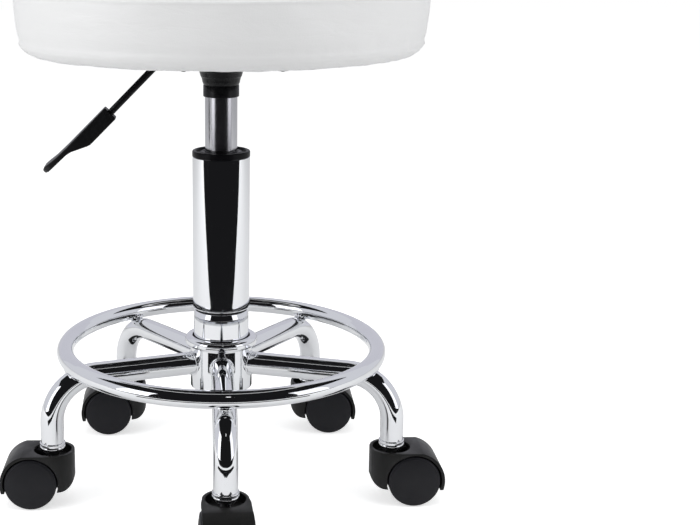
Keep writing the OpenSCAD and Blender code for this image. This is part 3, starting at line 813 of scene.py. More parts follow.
@dataclass
class FootRing:
    """Round foot ring on the legs' bends, with its weld beads."""

    radius: float = 138.5
    tube_r: float = 7.5
    height: float = 124.9
    bend_x: float = 116.0
    bend_z: float = 73.0
    weld_r: float = 49.0
    bead_l: float = 5.6
    bead_r: float = 2.35

    def ring(self) -> Piece:
        """The bent tube of the ring."""
        Bench.clear()
        bpy.ops.mesh.primitive_torus_add(major_radius=self.radius * MM, minor_radius=self.tube_r * MM,
                                         major_segments=224, minor_segments=48, location=(0, 0, self.height * MM))
        ring = Bench.named("foot_ring_tube")
        return Bench.smoothed(ring, 80)

    def bead(self) -> Piece:
        """Two rippled weld beads where the ring crosses the leg along +X."""
        lean = math.atan2(self.height - self.bend_z, self.radius - self.bend_x)
        beads = []
        for side in (-1, 1):
            Bench.clear()
            bpy.ops.mesh.primitive_uv_sphere_add(segments=40, ring_count=24, radius=1)
            bead = Bench.named("ring_bead")

            def ripple(co: Vector) -> Vector:
                """Stretch the ball along the ring and ripple it like a stacked weld."""
                wave = 1 + 0.10 * math.sin(co.y * 15) + 0.10 * noise.noise(co * 2.3 + Vector((side, 0, 0)))
                return Vector((co.x * self.bead_r * wave, co.y * self.bead_l, co.z * self.bead_r * wave)) * MM

            Bench.shaped(bead, ripple)
            place = (Matrix.Translation(Vector((self.bend_x, 0, self.bend_z)) * MM)
                     @ Matrix.Rotation(-lean, 4, "Y")
                     @ Matrix.Translation(Vector((self.weld_r + 1.4, 0, side * 4.7)) * MM))
            bead.data.transform(place)
            beads.append(bead)
        return Bench.smoothed(Bench.joined("ring_beads", beads), 80)

    def make(self) -> None:
        """Build the ring and its five pairs of beads."""
        settle(self.ring(), CHROME, Body.BASE.value, ["foot_ring"])
        beads = Bench.repeated(self.bead(), "ring_beads", round_legs())
        settle(Bench.joined("ring_weld_beads", beads), WELD, Body.BASE.value, ["ring_welds"])


# --- Column, gas spring and seat socket ---


@dataclass
class Column:
    """Chromed outer tube with the black guide sleeve in its mouth."""

    radius: float = 25.0
    wall: float = 1.5
    low: float = 162.0
    high: float = 297.0
    collar_h: float = 5.3
    sleeve_l: float = 110.0
    guide_r: float = 14.06

    def tube(self) -> Piece:
        """The column's tube, with a softened lower lip."""
        r, inner = self.radius, self.radius - self.wall
        outline = ([(inner, self.high), (inner, self.low + 0.4), (inner + 0.4, self.low)]
                   + arc((r - 0.7, self.low + 0.7), (0.7, 0.7), -90, 0, 4)
                   + [(r, self.low + 1.2), (r, self.low + 6), (r, self.high - 6), (r, self.high - 0.4),
                      (r - 0.4, self.high)])
        return Bench.turned("column_tube_chromed", outline, steps=160)

    def sleeve(self) -> Piece:
        """The guide sleeve with its stepped collar."""
        r, top, base = self.radius + 0.2, self.high + self.collar_h, self.high + 0.05
        inner = self.radius - self.wall - 0.05
        outline = ([(inner, base), (r - 0.4, base), (r, base + 0.4), (r, top - 1.3)]
                   + arc((r - 1.3, top - 1.3), (1.3, 1.3), 0, 90, 5)
                   + [(r - 2.6, top), (r - 3.1, top - 0.4), (r - 3.6, top - 1.9), (r - 6.6, top - 1.9),
                      (r - 7.0, top - 1.3), (r - 7.6, top - 0.9), (r - 9.3, top - 0.9), (r - 10.4, top - 1.3),
                      (self.guide_r, top - 2.1), (self.guide_r, self.high - self.sleeve_l),
                      (inner, self.high - self.sleeve_l)])
        return Bench.turned("column_collar", outline, steps=128)

    def make(self) -> None:
        """Build the tube and the sleeve."""
        settle(self.tube(), CHROME, Body.BASE.value, ["column_tube"])
        settle(self.sleeve(), COLLAR, Body.BASE.value, ["guide_sleeve"])


@dataclass
class GasSpring:
    """Pressure tube of the gas spring, ground and tapered at its top."""

    radius: float = 14.0
    bore_r: float = 12.5
    button_r: float = 4.06
    end_t: float = 3.0
    taper_z: float = 349.0
    high: float = 367.0

    def outline(self, low: float) -> list[Point]:
        """The tube's outline from a chosen lower edge."""
        return [(self.bore_r, low), (self.radius - 0.8, low), (self.radius, low + 0.8),
                (self.radius, low + 60), (self.radius, self.taper_z - 40), (self.radius, self.taper_z),
                (self.radius - 0.7, self.high), (self.button_r, self.high), (self.button_r, self.high - self.end_t),
                (self.bore_r, self.high - self.end_t)]

    def make(self) -> None:
        """Build the pressure tube."""
        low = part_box("pressure_tube")[0][2] / MM
        tube = Bench.turned("gas_spring_tube", self.outline(low), steps=128)
        settle(tube, GROUND, Body.SEAT.value, ["pressure_tube"])


@dataclass
class SeatSocket:
    """Black socket that takes the tapered tube and flares to the seat plate."""

    radius: float = 15.5
    low: float = 349.0
    bell_z: float = 361.0
    bell_r: float = 25.0
    lip: float = 3.0
    top: float = 383.0
    lever_z: float = 376.05
    bore_low_r: float = 14.05
    bore_high_r: float = 13.36
    bore_z: float = 367.0
    slot_half: float = 4.2
    ears_half: float = 7.6
    ears_x: Point = (-52.0, -26.1)

    def outline(self) -> list[Point]:
        """The socket's turned outline."""
        r, b, top = self.radius, self.bell_z, self.top
        flare = [(r + 0.6, b + 0.3), (r + 0.8, b + 1.6), (r + 1.4, b + 4.0), (r + 1.9, b + 5.2), (r + 2.2, b + 5.4),
                 (r + 2.8, b + 7.6), (r + 3.3, b + 9.2), (r + 3.6, b + 9.4), (r + 4.4, b + 11.8), (r + 5.6, b + 14.6),
                 (r + 7.4, b + 17.2), (self.bell_r - 0.4, top - 2.6)]
        hollow = [(self.bell_r - 2.4, top), (self.bell_r - 2.6, top - 3.6), (r + 3.7, b + 14.6),
                  (r + 2.0, b + 9.0), (14.0, self.bore_z + 0.5), (self.bore_high_r, self.bore_z)]
        return ([(self.bore_low_r, self.low), (r - 0.5, self.low), (r, self.low + 0.5), (r, b - 2.4),
                 (r - 0.15, b - 2.2), (r - 0.25, b - 2.0), (r - 0.25, b - 1.6), (r - 0.1, b - 1.4),
                 (r + 0.3, b - 0.2)]
                + flare + [(self.bell_r, top - 2.4), (self.bell_r + self.lip - 0.4, top - 2.4),
                           (self.bell_r + self.lip, top - 2.0), (self.bell_r + self.lip, top)] + hollow)

    def make(self) -> None:
        """Build the socket and cut the slots for the lever and its ears."""
        socket = Bench.turned("seat_socket_bell", self.outline(), steps=96)
        for name, (start, end), half, room in (("lever_slot", (-self.bell_r - 10, -5.0), self.slot_half, 6.4),
                                               ("ear_slot", self.ears_x, self.ears_half, 6.5)):
            Bench.cut(socket, Bench.block(name, (start * MM, -half * MM, (self.lever_z - room) * MM),
                                          (end * MM, half * MM, 400 * MM)))
        Bench.smoothed(socket, 38)
        settle(socket, PAINTED, Body.SEAT.value, ["seat_socket"])


# --- Release lever ---


@dataclass
class ReleaseLever:
    """Bent rod with a flattened tip over the valve and a moulded paddle."""

    rod_r: float = 3.0
    pivot_x: float = 32.0
    bend_x: float = 55.0
    level: float = 376.05
    angle: float = 45.5
    arm: float = 57.0
    bend_r: float = 12.0
    grip_l: float = 76.0
    grip_w: float = 28.0
    grip_half: float = 6.7
    tip_x: float = 4.5
    rod_in_grip: float = 24.0
    eye_r: float = 4.0
    pin_r: float = 2.06

    @property
    def tilt(self) -> float:
        """Angle of the arm below level, in radians."""
        return math.radians(self.angle)

    def rod(self) -> Piece:
        """The rod, drawn out from its tip over the valve, spun round its bend and drawn down."""
        Bench.clear()
        bpy.ops.mesh.primitive_circle_add(vertices=40, radius=self.rod_r * MM, fill_type="NGON",
                                          location=(self.tip_x * MM, 0, self.level * MM),
                                          rotation=(0, -math.pi / 2, 0))
        rod = Bench.named("lever_bar")
        reach = self.bend_r * math.tan(self.tilt / 2)
        start = -(self.bend_x - reach)
        Bench.edit_all()
        for stop in (self.tip_x - 1.0, -8.0, -13.0, start):
            here = max(v.co.x for v in bmesh.from_edit_mesh(rod.data).verts if v.select)
            Bench.draw_out((stop * MM - here, 0, 0))
        centre = (start * MM, 0, (self.level - self.bend_r) * MM)
        bpy.ops.mesh.spin(steps=12, angle=self.tilt, center=centre, axis=(0, 1, 0))
        along = Vector((-math.cos(self.tilt), 0, -math.sin(self.tilt)))
        Bench.draw_out(along * (self.arm - reach + self.rod_in_grip) * MM)
        Bench.close_up()

        def press(co: Vector) -> Vector:
            """Flatten the tip that lies on the valve."""
            if co.x < -9 * MM:
                return co
            return Vector((co.x, co.y * 1.06, self.level * MM + (co.z - self.level * MM) * 0.68))

        Bench.shaped(rod, press)
        return Bench.smoothed(rod, 50)

    def eye(self) -> Piece:
        """The pressed eye that turns on the pivot pin."""
        pivot = Vector((-self.pivot_x, 0, self.level)) * MM
        half = Vector((0, (self.rod_r + 0.35) * MM, 0))
        past = Vector((0, 0.02, 0))
        eye = Bench.bar("lever_eye", self.eye_r * MM, pivot - half, pivot + half, 40)
        return Bench.cut(eye, Bench.bar("eye_hole", self.pin_r * MM, pivot - past, pivot + past, 32))

    def grip(self) -> Piece:
        """The paddle: a sleeve block that thins out to a wide blade, drawn along +X."""
        half, wide = self.grip_half, self.grip_w / 2
        grip = Bench.block("lever_grip", (0, -wide * MM, -half * MM), (self.grip_l * MM, wide * MM, half * MM))
        for stop in (3, 10, 20, 31, 34, 40, 47, 52, 60, 68, 73):
            bpy.ops.object.mode_set(mode="EDIT")
            bpy.ops.mesh.select_all(action="SELECT")
            bpy.ops.mesh.bisect(plane_co=(stop * MM, 0, 0), plane_no=(1, 0, 0))
            bpy.ops.object.mode_set(mode="OBJECT")
        lower = ((0, -6.7), (31, -6.3), (34, -5.2), (47, 1.4), (52, 2.5), (73, 3.2), (76, 4.0))
        upper = ((0, 6.7), (47, 6.7), (60, 7.2), (68, 8.2), (73, 8.8), (76, 7.6))
        widths = ((0, 7.2), (3, 8.0), (20, 10.6), (34, 12.6), (47, 14.0), (68, 14.0), (73, 11.6), (76, 8.0))

        def along(table: Sequence[Point], x: float) -> float:
            """Read a station table between its points."""
            for (a, u), (b, v) in zip(table, table[1:]):
                if x <= b:
                    return u + (v - u) * (x - a) / (b - a)
            return table[-1][1]

        def station(co: Vector) -> Vector:
            """Move a corner to its section's height and width."""
            x = co.x / MM
            z = along(upper if co.z > 0 else lower, x)
            y = math.copysign(along(widths, x), co.y)
            return Vector((co.x, y * MM, z * MM))

        Bench.shaped(grip, station)
        Bench.modified(grip, "BEVEL", width=1.1 * MM, segments=4, limit_method="ANGLE", angle_limit=math.radians(50))
        end = Vector((-self.bend_x - self.arm * math.cos(self.tilt), 0,
                      self.level - self.arm * math.sin(self.tilt))) * MM
        place = Matrix.Translation(end) @ turned_by(180) @ Matrix.Rotation(self.tilt, 4, "Y")
        grip.data.transform(place)
        inward = place.to_3x3() @ Vector((1, 0, 0))
        hole = Bench.bar("grip_hole", (self.rod_r + 0.05) * MM, end - inward * 2 * MM, end + inward * 26 * MM, 40)
        Bench.cut(grip, hole)
        return Bench.smoothed(grip, 40)

    def make(self) -> None:
        """Build the rod with its eye and the paddle."""
        bar = Bench.joined("lever_bar", [self.rod(), self.eye()])
        settle(bar, PAINTED, Body.LEVER.value, ["lever_rod"])
        settle(self.grip(), MOULDED, Body.LEVER.value, ["lever_handle"])


# --- Seat ---


# Settings of the cloth that blows up over the foam.
COVER_CLOTH: dict[str, object] = {
    "use_pressure": True, "uniform_pressure_force": 3.5, "vertex_group_mass": "pinned", "quality": 6,
    "tension_stiffness": 30, "compression_stiffness": 30, "bending_stiffness": 2.0}


@dataclass
class SeatCushion:
    """Round foam cushion in a white coated cover, rolled under at its lower edge."""

    radius: float = 176.5
    low: float = 387.0
    height: float = 76.0
    crown: float = 7.0
    lean: float = 1.5
    fold_w: float = 18.0
    fold_h: float = 24.0
    edge_r: float = 22.0
    hem_r: float = 126.0
    cover_t: float = 1.5
    board_r: float = 155.1
    board_top: float = 400.7
    seam_z: float = 441.0
    steps: int = 240
    swell_cap: float = 3.0
    puff_frames: int = 18
    pleat_h: float = 26.0
    bulge_z: float = 428.0
    bulge_h: float = 26.0
    seam_depth: float = 0.95
    seam_w: float = 1.1
    stitches: int = 96

    def skin(self, inset: float = 0.0) -> list[Point]:
        """Outline of the cover's outside, from the hem round to the crown."""
        side = self.radius - self.lean
        rim = self.low + self.height
        wall_h = self.height - self.fold_h - self.edge_r
        across = self.radius - self.edge_r
        fold = arc((side - self.fold_w, self.low + self.fold_h), (self.fold_w - inset, self.fold_h - inset),
                   -90, 0, 14)
        edge = arc((across, rim - self.edge_r), (self.edge_r - inset, self.edge_r - inset), 0, 90, 12)
        wall = [(side - inset + self.lean * t, self.low + self.fold_h + wall_h * t)
                for t in (i / 16 for i in range(1, 16))]
        top = []
        for i in range(1, 20):
            t = 1 - i / 19
            flat = max(t - 0.2, 0) / 0.8
            top.append((across * t, rim - inset + self.crown * (1 - flat ** 2)))
        return fold + wall + edge + top

    def puffed(self) -> Piece | None:
        """The cushion's form after its cloth has been blown up a little over the foam."""
        form = Bench.turned("cushion_form", [(0.0, self.low + 2)] + self.skin(2.2), steps=120, loop=False)
        Bench.pick(form)
        form.data.remesh_voxel_size = 0.0055
        bpy.ops.object.voxel_remesh()
        rest = [v.co.copy() for v in form.data.vertices]
        pinned = form.vertex_groups.new(name="pinned")
        pinned.add([i for i, co in enumerate(rest) if co.z < (self.low + 9) * MM], 1.0, "REPLACE")
        cloth = form.modifiers.new("Cloth", "CLOTH")
        cloth.settings.effector_weights.gravity = 0.0
        for key, value in COVER_CLOTH.items():
            setattr(cloth.settings, key, value)
        scene = bpy.context.scene
        for frame in range(1, self.puff_frames + 1):
            scene.frame_set(frame)
        Bench.pick(form)
        bpy.ops.object.modifier_apply(modifier=cloth.name)
        scene.frame_set(1)
        cap = self.swell_cap * MM
        for vertex, old in zip(form.data.vertices, rest):
            step = vertex.co - old
            if step.length > cap:
                vertex.co = old + step * (cap / step.length)
        Bench.modified(form, "SMOOTH", factor=0.5, iterations=4)
        return form

    def crease(self, co: Vector) -> Vector:
        """Give the smooth skin its seam, its pulled folds and its uneven lower edge."""
        turn = math.atan2(co.y, co.x)
        r = math.hypot(co.x, co.y)
        z = co.z / MM
        out = Vector((math.cos(turn), math.sin(turn), 0))
        around = Vector((math.cos(turn) * 3, math.sin(turn) * 3, 0))
        moved = co.copy()
        if r > 120 * MM and z > self.low - 1:
            low = max(0.0, 1 - (z - self.low) / self.pleat_h)
            pleat = noise.noise(around * 4.2 + Vector((0, 0, 3.1)))
            fine = noise.noise(around * 13 + Vector((0, 0, z * 0.02)))
            moved.z += low * (0.8 * pleat + 0.45 * fine) * MM * (1 if r > 140 * MM else 0.2)
            moved += out * low * (1.1 * fine + 0.8 * pleat) * MM * (1 if r > 140 * MM else 0.0)
        if r > 150 * MM:
            wall = math.exp(-((z - self.bulge_z) / self.bulge_h) ** 2)
            drift = noise.noise(around * 1.4 + Vector((0, 0, z * 0.02)))
            crumple = noise.noise(Vector((math.cos(turn) * 14, math.sin(turn) * 14, z * 0.16)))
            moved += out * (0.9 * drift + 0.28 * crumple) * wall * MM
            gap = abs(z - self.seam_z - 0.6 * noise.noise(around * 1.1))
            moved -= out * self.seam_depth * MM * math.exp(-(gap / self.seam_w) ** 2)
            moved += out * 0.5 * MM * math.exp(-((gap - 2.6) / 1.3) ** 2)
            pucker = math.sin(turn * self.stitches + 2 * noise.noise(around * 5))
            moved += out * 0.10 * MM * pucker * math.exp(-(gap / 5.0) ** 2)
        return moved

    def make(self) -> None:
        """Build the cushion: the skin, then its swell, then its seam and folds."""
        puffed = self.puffed()
        skin = self.skin()
        dense: list[Point] = []
        for (r0, z0), (r1, z1) in zip(skin, skin[1:]):
            near_seam = abs((z0 + z1) / 2 - self.seam_z) < 6
            parts = max(1, math.ceil(math.hypot(r1 - r0, z1 - z0) / (0.7 if near_seam else 3.0)))
            dense += [(r0 + (r1 - r0) * i / parts, z0 + (z1 - z0) * i / parts) for i in range(parts)]
        hem = self.low + self.cover_t + 0.05
        pocket = [(0.0, self.board_top), (60.0, self.board_top), (self.board_r, self.board_top),
                  (self.board_r, hem), (self.hem_r, hem), (self.hem_r, self.low), (self.hem_r + 10, self.low)]
        cushion = Bench.turned("seat_cushion", pocket + dense + [skin[-1]], steps=self.steps, loop=False)
        if puffed is not None:
            group = cushion.vertex_groups.new(name="skin")
            group.add([v.index for v in cushion.data.vertices
                       if v.co.z > (self.board_top + 30) * MM or
                       (math.hypot(v.co.x, v.co.y) > (self.board_r + 5) * MM and v.co.z > (self.low + 10) * MM)],
                      1.0, "REPLACE")
            Bench.modified(cushion, "SHRINKWRAP", target=puffed, vertex_group="skin",
                           wrap_method="NEAREST_SURFACEPOINT")
            Bench.modified(cushion, "SMOOTH", factor=0.5, iterations=3, vertex_group="skin")
            bpy.data.objects.remove(puffed, do_unlink=True)
        Bench.shaped(cushion, self.crease)
        Bench.smoothed(cushion, 60)
        settle(cushion, WHITE_COVER, Body.SEAT.value, ["seat_cover", "seat_foam"])


@dataclass
class DustCover:
    """Thin black cloth under the seat board, pulled tight and stapled."""

    radius: float = 141.0
    level: float = 386.0
    thickness: float = 0.5
    bolt_at: float = 62.0
    hole_r: float = 3.4
    droop: float = 2.7
    droop_at: float = -71.0

    def make(self) -> None:
        """Build the cloth: rings drawn out from the middle, rippled, given its thickness and pierced."""
        rings = [(self.radius * (1 - i / 24), self.level) for i in range(24)] + [(0.0, self.level)]
        cloth = Bench.turned("dust_cloth", rings, steps=160, loop=False)

        def slack(co: Vector) -> Vector:
            """Let the cloth ripple between its staples and droop at one spot."""
            r, turn = math.hypot(co.x, co.y) / MM, math.atan2(co.y, co.x)
            edge = max(0.0, (r - 120) / 21)
            wave = 0.22 * math.sin(turn * 40) * edge + 0.15 * noise.noise(co * 60)
            away = math.degrees(turn) - self.droop_at
            lap = math.exp(-(away / 1.2) ** 2) * edge ** 2
            return Vector((co.x, co.y, co.z + (wave - self.droop * lap) * MM))

        Bench.shaped(cloth, slack)
        Bench.modified(cloth, "SOLIDIFY", thickness=self.thickness * MM, offset=0.0)
        for x in (-1, 1):
            for y in (-1, 1):
                at = Vector((x * self.bolt_at * MM, y * self.bolt_at * MM, 0))
                Bench.cut(cloth, Bench.bar("hole", self.hole_r * MM, at + Vector((0, 0, 0.38)),
                                           at + Vector((0, 0, 0.395)), 24))
        Bench.smoothed(cloth, 50)
        settle(cloth, DUST_CLOTH, Body.SEAT.value, ["dust_cover"])


# --- Casters ---


@dataclass
class Caster:
    """Two-wheel swivel caster: moulded hood and two domed wheels."""

    stem_circle: float = 155.0
    wheel_r: float = 22.5
    wheel_w: float = 16.0
    core: float = 13.0
    trail: float = 18.0
    housing_r: float = 19.0
    rim_z: float = 48.0
    fender_w: float = 40.0
    fender_t: float = 2.6
    axle_r: float = 3.0
    stem_r: float = 5.06
    cut_gap: float = 1.3
    nose_r: float = 11.0
    belly_z: float = 15.0
    waist_x: float = 7.0
    bore_z: float = 11.5
    tail_drop: float = -8.0

    def hood(self) -> Piece:
        """The hood: fender, housing and core as one moulding, with its trail along +X."""
        centre = Vector((self.trail, 0, self.wheel_r)) * MM
        across = Vector((0, 1, 0))
        half, r = self.fender_w / 2, self.housing_r
        outer = self.wheel_r + self.cut_gap + self.fender_t
        tail, crest = (math.degrees(math.asin(rise / outer)) for rise in (self.tail_drop, self.rim_z - self.wheel_r))
        nose = self.nose_r
        profile = (arc((nose - r, self.belly_z + nose), (nose, nose), 180, 270, 14)
                   + [(self.trail, self.belly_z), (self.trail + 4, self.belly_z - 0.5)]
                   + arc((self.trail, self.wheel_r), (outer, outer), tail, crest, 40)
                   + arc((2.0 - r, self.rim_z - 2.0), (2.0, 2.0), 90, 180, 4))
        plan = arc((0.0, 0.0), (r, r), 90, 270, 48) + [(self.waist_x, -half), (60.0, -half), (60.0, half),
                                                          (self.waist_x, half)]
        fender = Bench.prism("caster_hood", profile, -30, 30)
        fender.data.transform(Matrix.Rotation(math.pi / 2, 4, "X"))
        Bench.cut(fender, Bench.prism("plan", plan, 0, 60), "INTERSECT")
        above = Vector((0, 0, 0.08))
        rooms = [("room", self.wheel_r + self.cut_gap, centre + across * (side * self.core / 2 * MM),
                  centre + across * (side * 0.04), 96) for side in (-1, 1)]
        recess = ("recess", r - 2.6, Vector((0, 0, (self.rim_z - 8) * MM)), above, 64)
        bore = ("bore", self.stem_r, Vector((0, 0, self.bore_z * MM)), above, 40)
        axle = ("axle_bore", self.axle_r + 0.05, centre - across * 0.03, centre + across * 0.03, 40)
        for name, radius, start, end, steps in (*rooms, recess, bore, axle):
            Bench.cut(fender, Bench.bar(name, radius * MM, start, end, steps))
        Bench.pick(fender)
        bpy.ops.object.mode_set(mode="EDIT")
        bpy.ops.mesh.select_all(action="SELECT")
        bpy.ops.mesh.remove_doubles(threshold=3e-5)
        bpy.ops.mesh.dissolve_limited(angle_limit=math.radians(0.6))
        bpy.ops.object.mode_set(mode="OBJECT")
        Bench.modified(fender, "BEVEL", width=0.75 * MM, segments=3, limit_method="ANGLE",
                       angle_limit=math.radians(42), use_clamp_overlap=True)
        return Bench.smoothed(fender, 34)

    def wheel(self) -> Piece:
        """One wheel, its inner face at the origin and its axle along +Z."""
        r, w, axle = self.wheel_r, self.wheel_w, self.axle_r + 0.06
        face = [(r * t, w - 2.3 * (t ** 2.6)) for t in (0.93, 0.86, 0.78, 0.68, 0.56, 0.42, 0.26, 0.12)]
        outline = ([(0.0, w - 4.6), (axle, w - 4.6), (axle, 0.0), (axle + 3.0, 0.0), (axle + 3.4, 0.4),
                    (axle + 3.6, w - 4.4), (r - 3.4, w - 6.4), (r - 3.2, 0.6), (r - 2.6, 0.0), (r - 1.2, 0.0)]
                   + arc((r - 1.2, 1.2), (1.2, 1.2), -90, 0, 4)
                   + [(r, 4.0), (r, 6.8), (r - 0.18, 7.1), (r - 0.18, 7.5), (r, 7.8), (r, w - 5.2)]
                   + arc((r - 2.2, w - 4.6), (2.2, 2.2), 0, 70, 6)
                   + face + [(0.0, w)])
        return Bench.turned("caster_wheel", outline, steps=96, loop=False)

    def make(self) -> None:
        """Build one hood and one wheel and place them five times over."""
        hood, wheel = self.hood(), self.wheel()
        for k in range(1, LEGS + 1):
            place = at_caster(k, self.stem_circle)
            shell = Bench.copied(hood, f"caster_shell_{k}", place)
            settle(shell, NYLON, f"caster_{k}", [f"caster_hood_{k}"])
            for side in Side:
                label = side.name.lower()
                tip = Matrix.Rotation(-math.pi / 2 * side.value, 4, "X")
                seat = Matrix.Translation(Vector((self.trail, side.value * (self.core / 2 + 0.4), self.wheel_r)) * MM)
                disc = Bench.copied(wheel, f"wheel_disc_{label}_{k}", place @ seat @ tip)
                settle(disc, WHEEL, f"{label}_wheel_{k}", [f"wheel_{label}_{k}"])
        for spare in (hood, wheel):
            bpy.data.objects.remove(spare, do_unlink=True)


# --- Pieces that keep their machined shape ---


class Fittings:
    """Machined and bought-in parts that take only a finish."""

    FINISHES: dict[Finish, tuple[str, ...]] = {
        ZINC: ("bearing_lower_race", "bearing_balls", "bearing_upper_race", "rod_clip", "piston_rod", "piston",
               "valve_body", "release_button", "plate_bolts", "t_nuts", "cover_staples", "lever_pin", "grip_rings",
               *(f"caster_stem_{k}" for k in range(1, LEGS + 1)), *(f"caster_axle_{k}" for k in range(1, LEGS + 1))),
        MOULDED: ("tube_gland",),
        PAINTED: ("mount_plate",),
        RUBBER: ("rod_bumper",),
        PLYWOOD: ("seat_board",),
    }

    def dress(self, nodes: dict[str, Piece]) -> None:
        """Give each fitting its finish.

        Args:
            nodes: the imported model's nodes.
        """
        for finish, names in self.FINISHES.items():
            for name in names:
                if not nodes[name].material_slots:
                    nodes[name].data.materials.append(finish.material())
                for holder in nodes[name].material_slots:
                    holder.material = finish.material()
            LOG.info("%s on %d fittings", finish.name, len(names))


# --- Studio ---


@dataclass
class Studio:
    """Pale floor, white surroundings, soft lamps, dark cards and the camera."""

    distance: float = 1.149
    eye: float = 0.494
    pitch: float = 12.18
    base_turn: float = 1.3
    lens: float = 69.1
    shift: Point = (0.184, -0.07)

    def camera(self) -> None:
        """Place the camera a little to one side, so that the first leg points just right of it."""
        turn = math.radians(self.base_turn)
        data = bpy.data.cameras.new("studio_camera")
        data.lens = self.lens
        data.shift_x, data.shift_y = self.shift
        data.clip_start, data.clip_end = 0.05, 60
        eye = bpy.data.objects.new("studio_camera", data)
        bpy.context.scene.collection.objects.link(eye)
        eye.location = (-math.sin(turn) * self.distance, -math.cos(turn) * self.distance, self.eye)
        eye.rotation_euler = (math.radians(90 - self.pitch), 0, -turn)
        bpy.context.scene.camera = eye

    @staticmethod
    def by_ray(w: Wires, plain: Node, glossy: Node, camera: Node) -> Socket:
        """Choose a shader by who looks.

        Args:
            w: the wires of the tree.
            plain: the shader for all other rays.
            glossy: the one that mirrors see.
            camera: the one that the camera sees.

        Returns:
            The chosen shader's socket.
        """
        seen = w.add("ShaderNodeLightPath")
        first = w.add("ShaderNodeMixShader", {0: seen.outputs["Is Glossy Ray"], 1: plain.outputs[0],
                                              2: glossy.outputs[0]})
        second = w.add("ShaderNodeMixShader", {0: seen.outputs["Is Camera Ray"], 1: first.outputs[0],
                                               2: camera.outputs[0]})
        return second.outputs[0]

    def surroundings(self) -> None:
        """White to the camera and mostly white to mirrors, at a plain level for the rest."""
        world = bpy.data.worlds.new("studio")
        world.use_nodes = True
        bpy.context.scene.world = world
        world.node_tree.nodes.clear()
        w = Wires(world.node_tree)
        lit = w.add("ShaderNodeBackground", {"Color": (0.98, 0.99, 1.0, 1), "Strength": 0.52})
        mirrored = w.add("ShaderNodeBackground", {"Color": (0.93, 0.94, 1.0, 1), "Strength": 0.72})
        plain = w.add("ShaderNodeBackground", {"Color": (1, 1, 1, 1), "Strength": 1.0})
        w.add("ShaderNodeOutputWorld", {0: self.by_ray(w, lit, mirrored, plain)})

    def floor(self) -> None:
        """A wide pale floor that keeps the stool's soft shadow."""
        Bench.clear()
        bpy.ops.mesh.primitive_plane_add(size=14, location=(0, 0, -0.0004))
        ground = Bench.named("studio_floor")
        made, w = bare_material("studio floor")
        paper = w.add("ShaderNodeBsdfDiffuse", {"Color": (0.86, 0.86, 0.86, 1)})
        white = w.add("ShaderNodeEmission", {"Color": (1, 1, 1, 1), "Strength": 0.56})
        pale = w.add("ShaderNodeEmission", {"Color": (0.95, 0.95, 1, 1), "Strength": 0.05})
        lift = w.add("ShaderNodeAddShader", {0: paper.outputs[0], 1: white.outputs[0]})
        glint = w.add("ShaderNodeAddShader", {0: paper.outputs[0], 1: pale.outputs[0]})
        w.add("ShaderNodeOutputMaterial", {0: self.by_ray(w, paper, glint, lift)})
        ground.data.materials.append(made)

    def card(self, name: str, size: Point, place: Sequence[float], aim: Sequence[float], colour: Colour) -> None:
        """A flat card that only mirrors see.

        Args:
            name: the card's name.
            size: its width and height, in metres.
            place: its middle.
            aim: the point it faces.
            colour: its even colour.
        """
        Bench.clear()
        away = Vector(aim) - Vector(place)
        bpy.ops.mesh.primitive_plane_add(size=1, location=place, rotation=away.to_track_quat("Z", "Y").to_euler())
        bpy.context.object.scale = (*size, 1)
        self.only_mirrored(Bench.named(name), colour)

    @staticmethod
    def only_mirrored(card: Piece, colour: Colour) -> None:
        """Make a card glow evenly and hide it from all but mirrors.

        Args:
            card: the flat card.
            colour: its even colour.
        """
        made, w = bare_material(card.name)
        glow = w.add("ShaderNodeEmission", {"Color": (*colour, 1), "Strength": 1.0})
        w.add("ShaderNodeOutputMaterial", {0: glow.outputs[0]})
        card.data.materials.append(made)
        for ray in PASSING_RAYS:
            setattr(card, f"visible_{ray}", False)

    def floor_card(self, name: str, outline: Sequence[Point], colour: Colour) -> None:
        """Flat shape on the floor, seen only by mirrors.

        Args:
            name: its name.
            outline: its corners, each a distance from the stool in metres and a bearing in degrees.
            colour: its even colour.
        """
        Bench.clear()
        bpy.ops.mesh.primitive_circle_add(vertices=len(outline), radius=1, fill_type="NGON")
        card = Bench.named(name)
        for vertex, (away, bearing) in zip(card.data.vertices, outline):
            turn = math.radians(bearing)
            vertex.co = Vector((math.sin(turn) * away, -math.cos(turn) * away, FLOOR_CARD_Z))
        self.only_mirrored(card, colour)

    def dark_floor(self, colour: Colour) -> None:
        """Dark floor in front of the pale round that the stool stands on, and a dark arc nearer it.

        Args:
            colour: its even colour.
        """
        right = [(1.45, 74.0), (1.15, 68.0), (0.90, 60.0), (0.70, 52.0), (0.59, 44.0), (0.56, 34.0), (0.55, 20.0)]
        left = [(away, -bearing) for away, bearing in reversed(right)]
        self.floor_card("dark_floor", right + [(0.55, 0.0)] + left
                        + [(2.34, -79.7), (3.70, -38.4), (3.70, 38.4), (2.34, 79.7)], colour)
        bearings = range(-50, 51, 10)
        self.floor_card("dark_arc", [(0.43, b) for b in bearings] + [(0.335, b) for b in reversed(bearings)], colour)

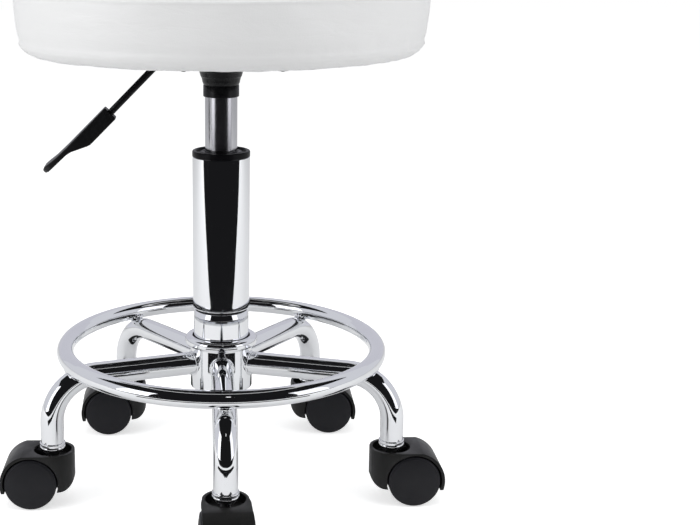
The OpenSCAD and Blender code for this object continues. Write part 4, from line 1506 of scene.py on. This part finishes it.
    @staticmethod
    def lamp(name: str, size: Point, place: Sequence[float], power: float) -> None:
        """A soft lamp aimed at the stool's middle, which mirrors don't show.

        Args:
            name: its name.
            size: its width and height, in metres.
            place: its middle.
            power: its power, in watts.
        """
        data = bpy.data.lights.new(name, "AREA")
        data.shape = "RECTANGLE"
        data.size, data.size_y = size
        data.energy = power
        lamp = bpy.data.objects.new(name, data)
        bpy.context.scene.collection.objects.link(lamp)
        lamp.location = place
        lamp.visible_glossy = False
        lamp.rotation_euler = (Vector(place) - Vector((0, 0, 0.25))).to_track_quat("Z", "Y").to_euler()

    def make(self) -> None:
        """Set up the whole studio."""
        bpy.context.scene.view_settings.view_transform = "Standard"
        self.camera()
        self.surroundings()
        self.floor()
        black = (0.010, 0.010, 0.011)
        self.lamp("lamp_left", (1.3, 1.5), (-1.7, -0.7, 1.1), 18)
        self.lamp("lamp_right", (1.3, 1.5), (1.7, -0.7, 1.1), 13)
        self.lamp("lamp_top", (1.6, 1.6), (0.0, -0.3, 2.2), 12)
        self.dark_floor(black)
        self.card("dark_wall", (8.0, 2.6), (0, -2.9, 1.3), (0, 0, 1.3), black)
        self.card("dark_ceiling", (6.0, 4.1), (0, -0.85, 2.6), (0, -0.85, 0), black)
        self.card("grey_back", (6.0, 2.2), (0, 3.0, 1.3), (0, 0, 1.3), (0.60, 0.60, 0.66))
        self.card("soft_left", (0.85, 1.6), (-1.73, -1.0, 0.82), (0, 0, 0.82), (1.7, 1.7, 1.75))
        self.card("soft_right", (0.85, 1.6), (1.73, -1.0, 0.82), (0, 0, 0.82), (1.3, 1.3, 1.35))
        self.card("small_window", (0.08, 0.16), (0.10, -1.3, 1.5), (0, 0, 0.1), (2.2, 2.2, 2.2))


def main() -> None:
    """Build the stool in order, from the floor up, then the studio."""
    logging.basicConfig(level=logging.INFO, format="%(name)s: %(message)s")
    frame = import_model()
    Studio().make()
    Caster().make()
    LegSet().make()
    FootRing().make()
    Hub().make()
    Column().make()
    GasSpring().make()
    SeatSocket().make()
    ReleaseLever().make()
    SeatCushion().make()
    DustCover().make()
    Fittings().dress({name: bpy.data.objects[name] for name in frame["nodes"]})


if __name__ == "__main__":
    main()
